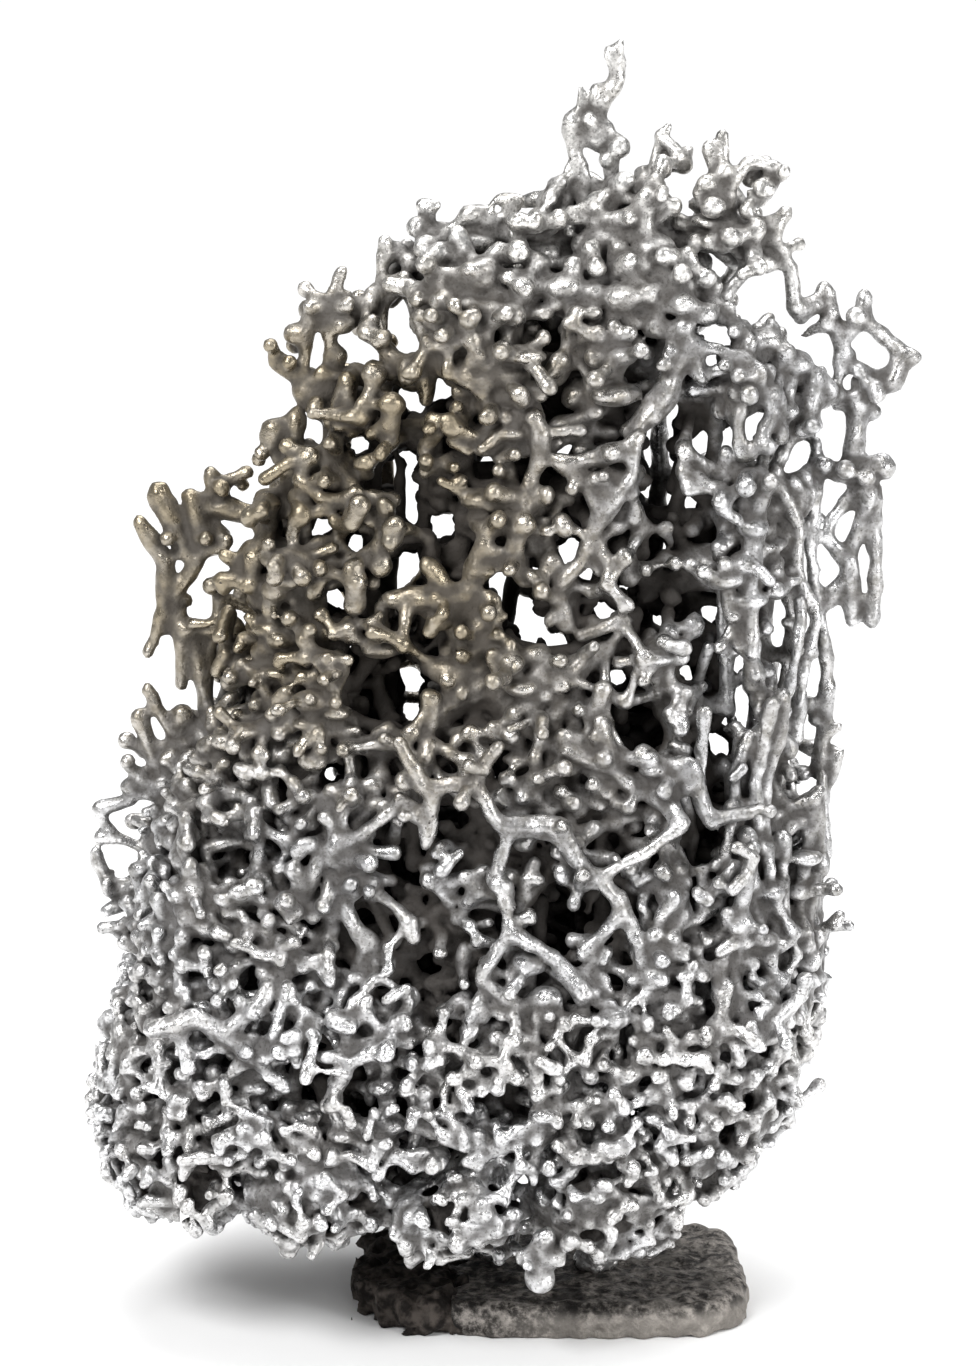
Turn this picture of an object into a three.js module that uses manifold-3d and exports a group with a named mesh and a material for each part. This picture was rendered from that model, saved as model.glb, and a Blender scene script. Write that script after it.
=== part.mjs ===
// A cast aluminium ant nest, stood upside down on the slab of metal that pooled round its entrance.
// Millimetres, +Z up, +X right, the viewer at -Y. The origin is the centre of the slab's flat underside.
//
// The casting is made of galleries: round shafts (rods) that join flattened chambers (lobes).
// Each named mesh is one gallery tree or clump, separated from its neighbours by a hairline gap.

import * as THREE from 'three';
import { mergeVertices } from 'three/addons/utils/BufferGeometryUtils.js';
import Module from 'manifold-3d';

const wasm = await Module();
wasm.setup();

// ---------------------------------------------------------------- driving dimensions

const NEST_WIDTH = 292; // left sprig to right arm
const NEST_DEPTH = 156; // front to back at the widest level
const NEST_HEIGHT = 451; // slab underside to the tip of the spire
const SHAFT_RADIUS = 2.4; // a common gallery shaft
const CHAMBER_RADIUS = 8; // a common flattened chamber
const CLUMP_RADIUS = 30; // core to knob tips in the dense clumps next to the slab
const CLUMP_KNOBS = 0.34; // how far the knobs of a clump stand out, as a share of that radius
const SLAB_WIDTH = 140;
const SLAB_DEPTH = 92;
const SLAB_THICKNESS = 11;
const CRUST_WIDTH = 34; // the ragged, dirt-crusted left end of the slab
const CRUST_THICKNESS = 13;
const NECK_RADIUS = 8; // the metal that filled the entrance, between slab and nest
const JOINT_GAP = 0.3; // between neighbouring pieces

// The point lists below are drawn for a nest of this size, and are stretched to the one above.
const DRAWN = new THREE.Vector3(292, 156, 451);
const STRETCH = new THREE.Vector3(NEST_WIDTH, NEST_DEPTH, NEST_HEIGHT).divide(DRAWN);

const ROD_SIDES = 4;
const ROD_SWELL = 1.15; // so that a four-sided rod holds as much metal as a round one
const ROD_STEP = 17; // longest straight stretch of a rod
const TIP_LENGTH = 0.8; // how far a blunt tip stands out, as a share of its rod's radius
const LOBE_COLUMNS = 6;
const LOBE_ROWS = 4;
const SMALL_LOBE = 8.2; // lobes smaller than this have fewer faces
const CLUMP_DETAIL = 2;
const CLUMP_SHAPE = new THREE.Vector3(1.04, 1, 0.86); // clumps are a little flattened
const CORE_SHARE = 0.75; // how much of a rod's or a chamber's radius is solid whichever way it faces
const MEETING = 2 * JOINT_GAP; // pieces no further apart than this count as joined
const BRIDGE_PAIRS = 400; // how many places are tried for a gallery that joins a tree to the rest

// ---------------------------------------------------------------- seeded variation

function seededRandom(text) {
  let state = 2166136261;
  for (const letter of text) {
    state = Math.imul(state ^ letter.charCodeAt(0), 16777619);
  }
  return () => {
    state = (Math.imul(state, 1664525) + 1013904223) | 0;
    const mixed = Math.imul(state ^ (state >>> 15), 2246822519);
    return ((mixed ^ (mixed >>> 13)) >>> 0) / 4294967296;
  };
}

const between = (random, low, high) => low + (high - low) * random();

// ---------------------------------------------------------------- solids

// Turns a closed three.js geometry into a solid that can be joined and cut.
function solidFrom(geometry) {
  const bare = geometry.index ? geometry.toNonIndexed() : geometry;
  for (const name of Object.keys(bare.attributes)) {
    if (name !== 'position') bare.deleteAttribute(name);
  }
  const merged = mergeVertices(bare, 1e-4);
  const triVerts = [];
  for (let i = 0; i < merged.index.count; i += 3) {
    const corners = [0, 1, 2].map((k) => merged.index.getX(i + k));
    if (new Set(corners).size === 3) triVerts.push(...corners);
  }
  return new wasm.Manifold(new wasm.Mesh({
    numProp: 3,
    vertProperties: merged.attributes.position.array,
    triVerts: new Uint32Array(triVerts),
  }));
}

// A round rod with blunt tips, turned on a lathe and then bent along its curve.
function rodSolid(rod, margin) {
  const curve = new THREE.CatmullRomCurve3(rod.points, false, 'centripetal');
  const bends = Math.round((rod.points.length - 1) * 0.7);
  const steps = Math.max(1, bends, Math.round(curve.getLength() / ROD_STEP));
  const frames = curve.computeFrenetFrames(steps);
  const radiusAt = (t) => sampleRadius(rod.radii, t) * ROD_SWELL + margin;
  const tip = (t) => TIP_LENGTH * radiusAt(t);
  const profile = [new THREE.Vector2(0, -1)];
  for (let i = 0; i <= steps; i += 1) {
    profile.push(new THREE.Vector2(radiusAt(i / steps), i));
  }
  profile.push(new THREE.Vector2(0, steps + 1));
  const geometry = new THREE.LatheGeometry(profile, ROD_SIDES);
  const position = geometry.attributes.position;
  const spot = new THREE.Vector3();
  for (let i = 0; i < position.count; i += 1) {
    const level = position.getY(i);
    const ring = THREE.MathUtils.clamp(Math.round(level), 0, steps);
    const beyond = level < 0 ? -tip(0) : level > steps ? tip(1) : 0;
    spot.copy(curve.getPointAt(ring / steps));
    spot.addScaledVector(frames.tangents[ring], beyond);
    spot.addScaledVector(frames.normals[ring], position.getX(i));
    spot.addScaledVector(frames.binormals[ring], -position.getZ(i));
    position.setXYZ(i, spot.x, spot.y, spot.z);
  }
  return solidFrom(geometry);
}

function sampleRadius(radii, t) {
  const at = t * (radii.length - 1);
  const low = Math.min(Math.floor(at), radii.length - 2);
  return THREE.MathUtils.lerp(radii[low], radii[low + 1], at - low);
}

// A chamber: a ball squashed to its three half-sizes, with a flattened floor (now on top) and a bumpy rim.
function lobeSolid(lobe, margin) {
  const small = Math.max(...lobe.size.toArray()) < SMALL_LOBE;
  const geometry = new THREE.SphereGeometry(1, LOBE_COLUMNS - (small ? 1 : 0), LOBE_ROWS - (small ? 1 : 0));
  geometry.rotateX(Math.PI / 2);
  const position = geometry.attributes.position;
  const spot = new THREE.Vector3();
  for (let i = 0; i < position.count; i += 1) {
    spot.fromBufferAttribute(position, i);
    const around = Math.atan2(spot.y, spot.x);
    const rim = 1 + lobe.bumps * Math.sin(lobe.lobes * around + lobe.turn) * Math.hypot(spot.x, spot.y);
    spot.x *= rim * lobe.size.x + margin;
    spot.y *= rim * lobe.size.y + margin;
    spot.z = (spot.z > 0 ? 0.75 : 1) * spot.z * lobe.size.z + Math.sign(spot.z) * margin;
    spot.applyAxisAngle(lobe.axis, lobe.tilt).add(lobe.centre);
    position.setXYZ(i, spot.x, spot.y, spot.z);
  }
  return solidFrom(geometry);
}

// A dense clump of short galleries: a ball whose knobs stand out in seeded directions.
function clumpSolid(clump, margin) {
  const geometry = new THREE.IcosahedronGeometry(1, CLUMP_DETAIL);
  const position = geometry.attributes.position;
  const spot = new THREE.Vector3();
  for (let i = 0; i < position.count; i += 1) {
    spot.fromBufferAttribute(position, i);
    const nearest = Math.max(...clump.knobs.map((knob) => knob.dot(spot)));
    const swell = 1 - CLUMP_KNOBS * THREE.MathUtils.smoothstep(1 - nearest, 0, 0.3);
    spot.multiplyScalar(CLUMP_RADIUS * swell + margin).multiply(CLUMP_SHAPE).add(clump.clump);
    position.setXYZ(i, spot.x, spot.y, spot.z);
  }
  return solidFrom(geometry);
}

function solidOf(member, margin = 0) {
  if (member.points) return rodSolid(member, margin);
  if (member.clump) return clumpSolid(member, margin);
  return lobeSolid(member, margin);
}

// ---------------------------------------------------------------- members of a tree

// A rod through drawn points: [across, up] or [across, up, back] in the tree's own plane.
const rod = (radii, ...points) => ({ radii, drawn: points });

// A chamber at [across, up, back] with half-sizes across, up and back.
function lobe(centre, across, up, back = across) {
  return { drawn: [centre], half: [across, up, back] };
}

// The balls that stand in for a member when its distance to another is wanted.
// The radius reaches its outermost point, and the core is solid metal whichever way it faces.
function ballsOf(member) {
  if (member.clump) {
    const radius = CLUMP_RADIUS * CLUMP_SHAPE.x;
    return [{ centre: member.clump, radius, core: CLUMP_RADIUS * CLUMP_SHAPE.z * (1 - CLUMP_KNOBS) }];
  }
  if (!member.points) {
    const { x, y, z } = member.size;
    return [{ centre: member.centre, radius: Math.max(x, y), core: CORE_SHARE * Math.min(x, y, z) }];
  }
  const curve = new THREE.CatmullRomCurve3(member.points, false, 'centripetal');
  const count = Math.max(2, Math.ceil(curve.getLength() / 3));
  return Array.from({ length: count + 1 }, (_, i) => {
    const radius = sampleRadius(member.radii, i / count);
    return { centre: curve.getPointAt(i / count), radius, core: CORE_SHARE * radius };
  });
}

const trees = []; // every tree so far: { name, tint, members, balls, sideGalleries, random }

// Puts drawn members in their place in the nest, stretched with it and swayed a little front to back.
function settle(drawnMembers, offset, random) {
  const place = ([across, up, back = 0], wander) => new THREE.Vector3(
    (across + offset[0]) * STRETCH.x,
    (back + offset[1] + between(random, -wander, wander)) * STRETCH.y,
    (up + offset[2]) * STRETCH.z,
  );
  return drawnMembers.map((member) => {
    if (member.half) {
      return makeLobe(place(member.drawn[0], 0), member.half, random);
    }
    return {
      points: member.drawn.map((point) => place(point, 1.2)),
      radii: member.radii,
    };
  });
}

function makeLobe(centre, half, random) {
  return {
    centre,
    size: new THREE.Vector3(half[0], half[2], half[1]),
    bumps: between(random, 0.1, 0.28),
    lobes: random() < 0.5 ? 2 : 3,
    turn: between(random, 0, Math.PI * 2),
    axis: new THREE.Vector3(between(random, -1, 1), between(random, -1, 1), 0.2).normalize(),
    tilt: between(random, -0.25, 0.25),
  };
}

// ---------------------------------------------------------------- free space

// The outside of the nest, level by level: [height, left, right, front, back].
const OUTLINE = [
  [24, -88, 44, -58, 50],
  [45, -156, 62, -74, 70],
  [75, -166, 88, -80, 82],
  [110, -158, 100, -80, 88],
  [150, -156, 101, -74, 84],
  [184, -148, 100, -68, 78],
  [220, -134, 96, -60, 70],
  [256, -128, 96, -54, 62],
  [292, -118, 108, -48, 54],
  [328, -98, 108, -42, 46],
  [364, -76, 86, -34, 36],
  [390, -44, 80, -26, 26],
  [408, 2, 66, -18, 18],
  [440, 8, 26, -8, 8],
];

function insideNest(point, margin) {
  const z = point.z / STRETCH.z;
  if (z < OUTLINE[0][0] || z > OUTLINE[OUTLINE.length - 1][0]) return false;
  const above = OUTLINE.findIndex((row) => row[0] >= z);
  const high = OUTLINE[Math.max(above, 1)];
  const low = OUTLINE[Math.max(above, 1) - 1];
  const share = (z - low[0]) / (high[0] - low[0]);
  const [left, right, front, back] = [1, 2, 3, 4].map((k) => THREE.MathUtils.lerp(low[k], high[k], share));
  const u = (2 * point.x / STRETCH.x - left - right) / (right - left - 2 * margin);
  const v = (2 * point.y / STRETCH.y - front - back) / (back - front - 2 * margin);
  return Math.abs(u) ** 2.6 + Math.abs(v) ** 2.6 < 1;
}

// Straight ways right through the nest, which fan out from a point far in front of it:
// [across, up, radius] where each way crosses the middle plane.
const FAN_POINT = new THREE.Vector3(-22, -1460, 563);
const OPEN_WAYS = [
  [-54, 355, 5], [-49, 345, 3], [-37, 329, 2.5], [-47, 325, 3], [-80, 314, 2], [-80, 341, 2],
  [-67, 343, 5], [-66, 310, 2], [-58, 301, 3.5], [-50, 305, 4], [-50, 295, 4], [-48, 286, 3.5],
  [-106, 277, 3], [-80, 282, 3], [-67, 276, 2.5], [-37, 282, 3.5], [-50, 268, 5], [-56, 259, 4],
  [-75, 256, 3], [-17, 261, 3], [-12, 254, 4], [-7, 246, 5], [3, 240, 3], [-49, 228, 3],
  [5, 273, 2.5], [12, 266, 2.5], [18, 252, 2], [4, 307, 2.5], [-22, 304, 2], [36, 275, 2],
  [36, 248, 2.5], [23, 228, 3], [41, 323, 2.5], [36, 314, 3], [38, 303, 4], [35, 293, 2.5],
  [45, 290, 3], [52, 311, 3], [61, 313, 2], [70, 318, 3.5], [68, 308, 3], [57, 348, 3.5],
  [54, 338, 3], [67, 358, 4], [79, 358, 2.5], [62, 366, 2.5], [72, 366, 2.5], [53, 375, 2],
  [83, 306, 5], [79, 252, 3], [79, 240, 2.5], [96, 270, 5], [96, 260, 4], [102, 281, 4],
  [55, 251, 2.5], [66, 221, 2.5], [69, 212, 2], [59, 204, 3.5], [48, 230, 2.5], [64, 233, 1.5],
  [58, 176, 2.5], [98, 183, 2], [-108, 253, 2], [-124, 252, 2.5], [-120, 224, 3], [110, 345, 6],
  [-78, 193, 2], [-155, 177, 3], [-14, 393, 2], [44, 398, 3], [-49, 215, 2],
];

function clearOfWays(centre, radius) {
  return OPEN_WAYS.every(([across, up, open]) => {
    const middle = new THREE.Vector3(across * STRETCH.x, 0, up * STRETCH.z);
    const way = new THREE.Ray(FAN_POINT, middle.clone().sub(FAN_POINT).normalize());
    return way.distanceToPoint(centre) > radius + open;
  });
}

function clearOfTrees(ball, ownName) {
  return trees.every((tree) => tree.name === ownName || tree.balls.every(
    (other) => other.centre.distanceTo(ball.centre) > other.radius + ball.radius + JOINT_GAP,
  ));
}

const isFree = (ball, ownName) => insideNest(ball.centre, ball.radius)
  && clearOfWays(ball.centre, ball.radius)
  && clearOfTrees(ball, ownName);

// ---------------------------------------------------------------- growing galleries

// Grows side galleries out of a tree, each into free space: mostly upright shafts and level passages.
// A gallery is kept when at least two thirds of it are free, and it ends where the free space ends.
function grow(tree, count, random) {
  let grown = 0;
  for (let attempt = 0; attempt < count * 14 && grown < count; attempt += 1) {
    const root = tree.balls[Math.floor(random() * tree.balls.length)].centre;
    const upright = random() < 0.6;
    const length = upright ? between(random, 16, 38) : between(random, 10, 20);
    const bearing = between(random, 0, Math.PI * 2);
    const level = upright ? between(random, 0.05, 0.45) : 1;
    const rise = upright ? (random() < 0.5 ? 1 : -1) : between(random, -0.35, 0.35);
    const heading = new THREE.Vector3(Math.cos(bearing) * level, Math.sin(bearing) * level, rise).normalize();
    const sway = new THREE.Vector3(between(random, -3, 3), between(random, -3, 3), between(random, -2, 2));
    const radius = SHAFT_RADIUS * between(random, 0.8, 1.35);
    const steps = 4;
    const points = [root.clone()];
    for (let i = 1; i <= steps; i += 1) {
      const spot = root.clone().addScaledVector(heading, (length * i) / steps);
      spot.addScaledVector(sway, Math.sin((Math.PI * i) / steps));
      if (!isFree({ centre: spot, radius }, tree.name)) break;
      points.push(spot);
    }
    if (points.length < steps) continue;
    const kept = [points[0], points[Math.floor(points.length / 2)], points[points.length - 1]];
    tree.members.push({ points: kept, radii: [radius * 1.2, radius * 0.9, radius * 1.25] });
    tree.balls.push(...ballsOf(tree.members[tree.members.length - 1]));
    grown += 1;
    const end = kept[2];
    const across = CHAMBER_RADIUS * between(random, 0.55, 1);
    if (random() < 0.4 && isFree({ centre: end, radius: across }, tree.name)) {
      const half = [across, across * between(random, 0.45, 0.75), across * between(random, 0.7, 1.1)];
      tree.members.push(makeLobe(end.clone(), half, random));
      tree.balls.push(...ballsOf(tree.members[tree.members.length - 1]));
    }
  }
}

// Adds a tree of drawn members, shifted by [across, back, up]. Its side galleries are grown later.
function addTree(name, tint, offset, drawnMembers, sideGalleries = 0) {
  const random = seededRandom(name);
  const members = settle(drawnMembers, offset, random);
  trees.push({ name, tint, members, balls: members.flatMap(ballsOf), sideGalleries, random });
}

// ---------------------------------------------------------------- the crown, from the spire to the right

const PALE = 'pale';
const OLIVE = 'olive';
const GREY = 'grey';
const BLUISH = 'bluish';

addTree('spire', PALE, [0, 0, 0], [
  rod([1.9, 2.9, 2.6], [22.5, 449.5], [22, 440], [21, 431], [15, 425]),
  rod([1.9, 1.6], [18, 446.5], [21, 440]),
  rod([1.9, 1.7], [15, 434], [14, 426]),
  rod([1.5, 1.7], [9, 434], [10, 424]),
  lobe([15.5, 418.5], 6.5, 7, 5),
  rod([3, 2.2, 2.6], [6.5, 423], [6, 415], [8, 408], [11, 403], [12, 395], [10, 386]),
  rod([2.6, 2.2], [20, 414], [21, 404.5], [19.5, 396], [16, 386]),
  rod([1.8, 1.9], [5, 407], [4.5, 388]),
  rod([3, 2.4], [25, 398], [20, 394]),
  lobe([13, 382], 8, 6),
]);

addTree('crown_hook', PALE, [0, 4, -1], [
  rod([1.6, 1.8, 3], [40, 421.5], [36.5, 420], [36, 414], [35, 407], [35, 396]),
  rod([2, 3], [47, 413], [39, 407]),
  rod([2.4, 3.4, 3.4], [35, 396], [42, 387], [46, 380], [54, 371], [50, 361]),
  lobe([42, 375], 5.5, 5.5),
  lobe([33, 385], 7, 5),
]);

addTree('crown_right', PALE, [0, -6, 1.5], [
  rod([2.3, 2], [52.5, 412.5], [56, 406], [57, 397]),
  rod([1.8, 2], [58, 417], [58, 403], [57, 397]),
  lobe([57, 394], 8, 6.5, 6),
  rod([2.6, 2.4, 3, 2], [60, 399], [66, 407.5], [74.5, 408], [75.5, 402], [73.5, 396]),
  rod([1.5, 2], [66, 398], [72, 393]),
  rod([2.6, 3], [80, 390], [75, 386]),
  lobe([73, 384], 7, 6),
  lobe([61, 384], 10, 5.5, 6),
  rod([2.5, 2.2], [74, 382], [77.5, 375], [82.5, 368.5], [83, 357]),
  rod([2.6, 2.4], [66, 384], [67, 374], [66, 368], [58, 361]),
]);

addTree('crown_shelf', PALE, [0, -22, 5], [
  lobe([24, 360], 9, 6, 7),
  lobe([35, 362], 8, 6.5, 6),
  rod([2.4, 2.8], [27, 368], [28, 360]),
  rod([2.8, 2.4], [40, 366], [36, 360]),
  rod([3, 2.4], [22, 358], [18, 352], [17, 345]),
  lobe([35, 350], 6, 5),
  rod([3, 3], [35, 361], [35, 351]),
]);

addTree('diagonal_limb', PALE, [0, -26, 6], [
  rod([3.4, 4.2, 4.6, 3.2], [44, 341], [43, 333], [37, 324], [26, 313]),
  rod([3.4, 3], [46, 344], [49, 338], [50, 331]),
  rod([2, 1.8], [50, 343], [60, 343], [66, 338]),
  lobe([67, 334], 7, 6.5, 5),
  rod([2.2, 2], [66, 338], [60, 334], [52, 333]),
  rod([2.4, 2.2], [67, 333], [64, 322], [61, 311], [64, 304]),
  rod([2.4, 2.2], [67, 334], [75, 327], [74, 316], [68, 305]),
]);

addTree('boat_chamber', OLIVE, [0, -20, 4.6], [
  lobe([3, 364], 9, 5, 7),
  lobe([13, 361], 8, 6, 6),
  rod([3.2, 2.4], [7, 372], [7, 364]),
  lobe([13, 349], 4.5, 4),
  rod([2.4, 2], [13, 355], [12.5, 343], [13.5, 332], [13.5, 322], [12, 313], [6, 303]),
  rod([2.6, 2.2, 3.6], [6, 361], [7, 347], [2, 334]),
  lobe([1, 334], 5, 5),
  lobe([7.5, 326], 5.5, 5),
  rod([2.4, 1.9], [17, 323], [26, 328], [33, 331]),
  rod([2.8, 2.2], [21, 314], [13, 313]),
]);

addTree('flat_loop', OLIVE, [0, 2, -0.5], [
  rod([1.8, 2], [-24, 388], [-22, 395], [-12, 396.5], [-7.5, 393], [-18, 390], [-24, 386]),
  lobe([-10, 384], 8.5, 5.5, 7),
  rod([2, 2.4], [-28, 383], [-22, 386], [-14, 385]),
  rod([2.6, 3], [-8, 384], [-10, 374], [-13, 366]),
  rod([2.6, 3], [-2, 382], [4, 376]),
]);

addTree('funnel_chamber_left', OLIVE, [0, -18, 4], [
  lobe([-27, 367], 11, 6, 7),
  rod([4, 2.4], [-27, 364], [-26, 354], [-24, 345]),
  rod([2.4, 3], [-36, 369], [-41, 366]),
  lobe([-13, 356], 5.5, 5),
  rod([3, 2.8], [-22, 364], [-14, 358]),
  rod([3, 2.6], [-13, 355], [-14.5, 332], [-19, 325]),
  rod([3, 3], [-30, 341], [-25, 333]),
  lobe([-35, 342], 11, 5, 7),
  rod([5, 3, 2], [-44, 338], [-44, 331], [-43, 323.5]),
  lobe([-25, 332], 5, 5),
  lobe([-21, 322], 6, 5.5),
  rod([3, 2.4], [-23, 330], [-18, 318], [-16, 310]),
]);

addTree('tee_head', OLIVE, [0, 6, -1], [
  rod([2.2, 2], [-45.5, 393], [-39.5, 393]),
  rod([2.4, 2.2, 3.6], [-42.5, 393], [-41.5, 382], [-43, 375]),
  rod([1.6, 2.2], [-46, 387], [-42, 383]),
  rod([2, 2.4], [-30, 387.5], [-35, 385], [-41, 379]),
  lobe([-43, 373], 7, 6),
  rod([2, 2.4], [-51, 378], [-46, 374]),
  rod([2.6, 2.2], [-45, 371], [-49, 365], [-56, 360]),
  rod([2.4, 2.6], [-41, 369], [-39, 360], [-41, 351]),
]);

addTree('thin_mast', OLIVE, [0, 0, 0], [
  rod([2.4, 1.6, 2.2, 1.6, 2], [-57.5, 382], [-58, 367], [-58.5, 357], [-57.5, 342], [-57.5, 326]),
  lobe([-60, 322], 6, 5),
  rod([2, 1.6], [-58, 320], [-53, 316], [-52.5, 300], [-52.5, 284]),
  lobe([-56.5, 287], 4.5, 4),
  rod([2.4, 2], [-60, 320], [-62, 308], [-61, 296]),
]);

addTree('upper_left_fingers', OLIVE, [0, -4, 1], [
  rod([2, 1.9, 2.2], [-71.5, 371], [-73.5, 364], [-76.5, 359], [-76.5, 350], [-75.5, 336]),
  rod([1.6, 2], [-69.5, 362], [-74, 357], [-80, 355], [-84, 353]),
  rod([2.3, 2.6, 2.2], [-81.5, 361], [-83, 351.5], [-84.5, 346], [-86, 334]),
  lobe([-88, 349], 4.5, 4.5),
  lobe([-71, 353], 6, 4),
  rod([2.6, 2.4], [-72.5, 342], [-75, 334]),
  lobe([-80, 329], 10, 8, 6),
  rod([3, 2.4], [-95, 340.5], [-90, 336], [-86, 332]),
  rod([2.8, 2.4], [-66.5, 337], [-72, 332]),
]);

addTree('upper_left_trunk', OLIVE, [0, -8, 2], [
  rod([3.6, 3.2, 3.6], [-88, 320], [-88.5, 305], [-87, 296], [-90, 286]),
  lobe([-95, 314], 6.5, 7.5, 5),
  rod([3, 3.2], [-94.5, 306], [-88, 300]),
  lobe([-76.5, 305], 9, 6.5),
  rod([3, 3], [-88, 307], [-78, 305]),
  rod([2, 2.4], [-76, 318], [-76, 308]),
  lobe([-96, 290], 7, 7, 5),
  rod([2.4, 3], [-76, 300], [-70, 297], [-64, 290], [-62, 280]),
  rod([2.6, 3], [-78, 300], [-85, 292], [-86, 280]),
  lobe([-98, 275], 5, 5),
  rod([3, 2.6], [-96, 286], [-99, 276], [-104, 268]),
  rod([2.2, 2.4], [-73, 296], [-73, 284], [-74, 270]),
]);

addTree('left_arm', OLIVE, [0, 4, -1], [
  rod([4.2, 3.2, 3.4], [-137, 295], [-132.5, 287], [-130, 278], [-127, 272]),
  rod([2.4, 2.4], [-118, 302], [-117.5, 296]),
  rod([2.4, 2.2], [-104.5, 301.5], [-111.5, 298.5], [-117, 295], [-121, 291]),
  lobe([-118, 278], 8, 7.5, 6),
  rod([3.8, 3.6], [-125, 293], [-127, 284], [-122, 278]),
  rod([3.6, 3.4], [-121, 290], [-113, 288], [-104, 286]),
  rod([2.4, 2.6], [-122, 272], [-128, 266], [-131, 258]),
  rod([2.4, 3.4, 3.2, 2.6, 2.2], [-143.5, 284], [-137, 275], [-133, 263], [-136, 250], [-141.5, 237]),
  rod([2.6, 2.4, 1.9], [-132, 262], [-130, 247], [-129, 236], [-130, 224]),
  rod([3.4, 3], [-130, 246], [-120, 246], [-108, 245]),
  rod([2.9, 2.5], [-125, 245], [-124, 234], [-121.5, 222], [-120, 212]),
  rod([1.9, 2], [-119, 243], [-117, 232], [-121, 219]),
  rod([2.3, 2.2], [-116, 264], [-117, 256], [-116, 247]),
  rod([1.9, 1.8], [-117, 257], [-108, 256.5], [-103, 252]),
]);

// ---------------------------------------------------------------- the right side

addTree('right_arm', PALE, [0, 2, 0], [
  rod([3, 2.4], [93.5, 365], [93.5, 353], [99, 347]),
  rod([1.6, 2], [85, 348], [95, 352]),
  rod([2.3, 2.6], [107, 363], [106.5, 355]),
  rod([3, 2.6, 2.4], [107, 355], [101, 350], [99.5, 341], [99, 331], [98, 323]),
  rod([2.8, 2.6], [106, 355], [114, 351], [120, 343]),
  rod([3, 2.4], [125, 341], [120, 341]),
  rod([2.6, 4.2, 3], [121, 342], [117, 332], [112, 329], [107, 328]),
  rod([2.4, 2.2], [113, 334], [106, 338], [100, 340]),
  lobe([106.5, 326.5], 6, 6.5, 5),
  rod([4, 3], [106, 322], [104, 305]),
  lobe([103, 301], 5.5, 5, 4.5),
  rod([3, 2.8], [98, 300], [103, 301]),
  rod([3, 4.4], [105, 302], [116, 303]),
  rod([2.2, 2.6, 2.4, 2.8], [111, 298], [103.5, 291], [95, 282], [96, 277], [103, 268]),
  rod([2.6, 2.4], [109, 288], [107, 281], [104, 271]),
  rod([2.8, 2.4, 2.6], [113, 292], [112, 280], [114, 271], [112, 247]),
  rod([3.2, 3, 2.6], [104, 270], [104.5, 260], [105.5, 247]),
  rod([2.2, 2.4], [106, 292], [113, 292]),
  rod([2.6, 2.4], [103.5, 267], [99, 260], [96, 253]),
]);

addTree('right_knob_beam', GREY, [0, -8, 2], [
  lobe([89.5, 334], 4.5, 4.5),
  rod([4, 3.4], [90, 332], [91, 325], [88, 318]),
  rod([4, 4], [78, 321], [90, 317]),
  rod([2.6, 2.6], [85, 318], [84, 308], [76, 300]),
  lobe([82, 290], 9, 6.5, 6),
  rod([2, 2.4], [88, 299], [84, 291]),
  lobe([88, 293], 3.6, 3),
  rod([2.4, 2.4], [76, 300], [70, 296], [66, 290]),
  rod([2.6, 2.4], [80, 322], [80, 335], [78, 345], [74, 352]),
  rod([3, 3], [66, 290], [66, 282], [74, 284], [80, 287]),
]);

addTree('outer_shaft', GREY, [0, 0, 0], [
  rod([2.5, 2.4], [92, 311], [92, 297], [90, 285], [90, 268], [93, 255], [95.5, 240]),
  rod([2.5, 2.8], [95.5, 241], [97, 226], [96, 210], [94, 193]),
  rod([2, 2.2], [98, 210], [104, 211], [110, 213]),
  rod([2.8, 2.6], [115, 215], [110, 213]),
  rod([1.8, 2], [111, 218.5], [111, 213]),
  rod([2, 2.2], [102, 202], [99, 195], [96, 185]),
  rod([2, 2.2], [99, 195], [98, 186], [95, 176]),
  rod([2.2, 2.2], [96, 218], [87, 217], [80, 218]),
]);

addTree('paired_shafts', GREY, [0, -6, 1.5], [
  rod([2.4, 2.3], [85.5, 282], [85, 266], [89, 257], [92, 250]),
  rod([2.2, 2.4], [92, 250], [89, 236], [87, 222], [86, 205]),
  rod([2.3, 2.3], [80, 284], [80, 264], [84, 250], [83, 236]),
  rod([2.3, 2.4], [83, 236], [80, 222], [81, 205], [80, 190]),
  rod([2, 2], [92, 236], [84, 237], [76, 236]),
  rod([3.2, 2.8], [73.5, 272], [74, 250], [73, 236], [71, 222]),
  rod([2.2, 2], [71, 222], [73, 205], [74, 190]),
  rod([2, 2], [72, 250], [64, 250], [61, 248]),
]);

addTree('pot_chamber', GREY, [0, -16, 3.5], [
  lobe([56, 269], 6, 6, 5),
  rod([6, 5.5], [56, 269], [45, 270]),
  rod([2.4, 2.4], [62, 273], [66, 268], [72, 260]),
  rod([2.2, 2], [62, 262], [62, 248], [61, 236], [62, 216]),
  rod([3, 3], [61, 262], [52, 259], [40, 262], [30, 264]),
  rod([3, 2.6], [40, 262], [31, 256]),
  rod([2.4, 2.4], [62, 216], [55, 214], [50, 220]),
]);

addTree('hood_chamber', GREY, [0, -12, 3], [
  lobe([46, 301], 4.8, 5),
  lobe([57, 299], 7, 7, 6),
  rod([2.4, 2.6], [46, 298], [42, 290], [40, 282]),
  rod([2.8, 2.8], [58, 294], [56, 285], [49, 280], [43, 279]),
  rod([2.6, 2.4], [55, 304], [58, 314], [53, 322], [47, 330]),
  rod([2.4, 2.2], [57, 292], [64, 284]),
]);

// ---------------------------------------------------------------- the middle of the front

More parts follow.
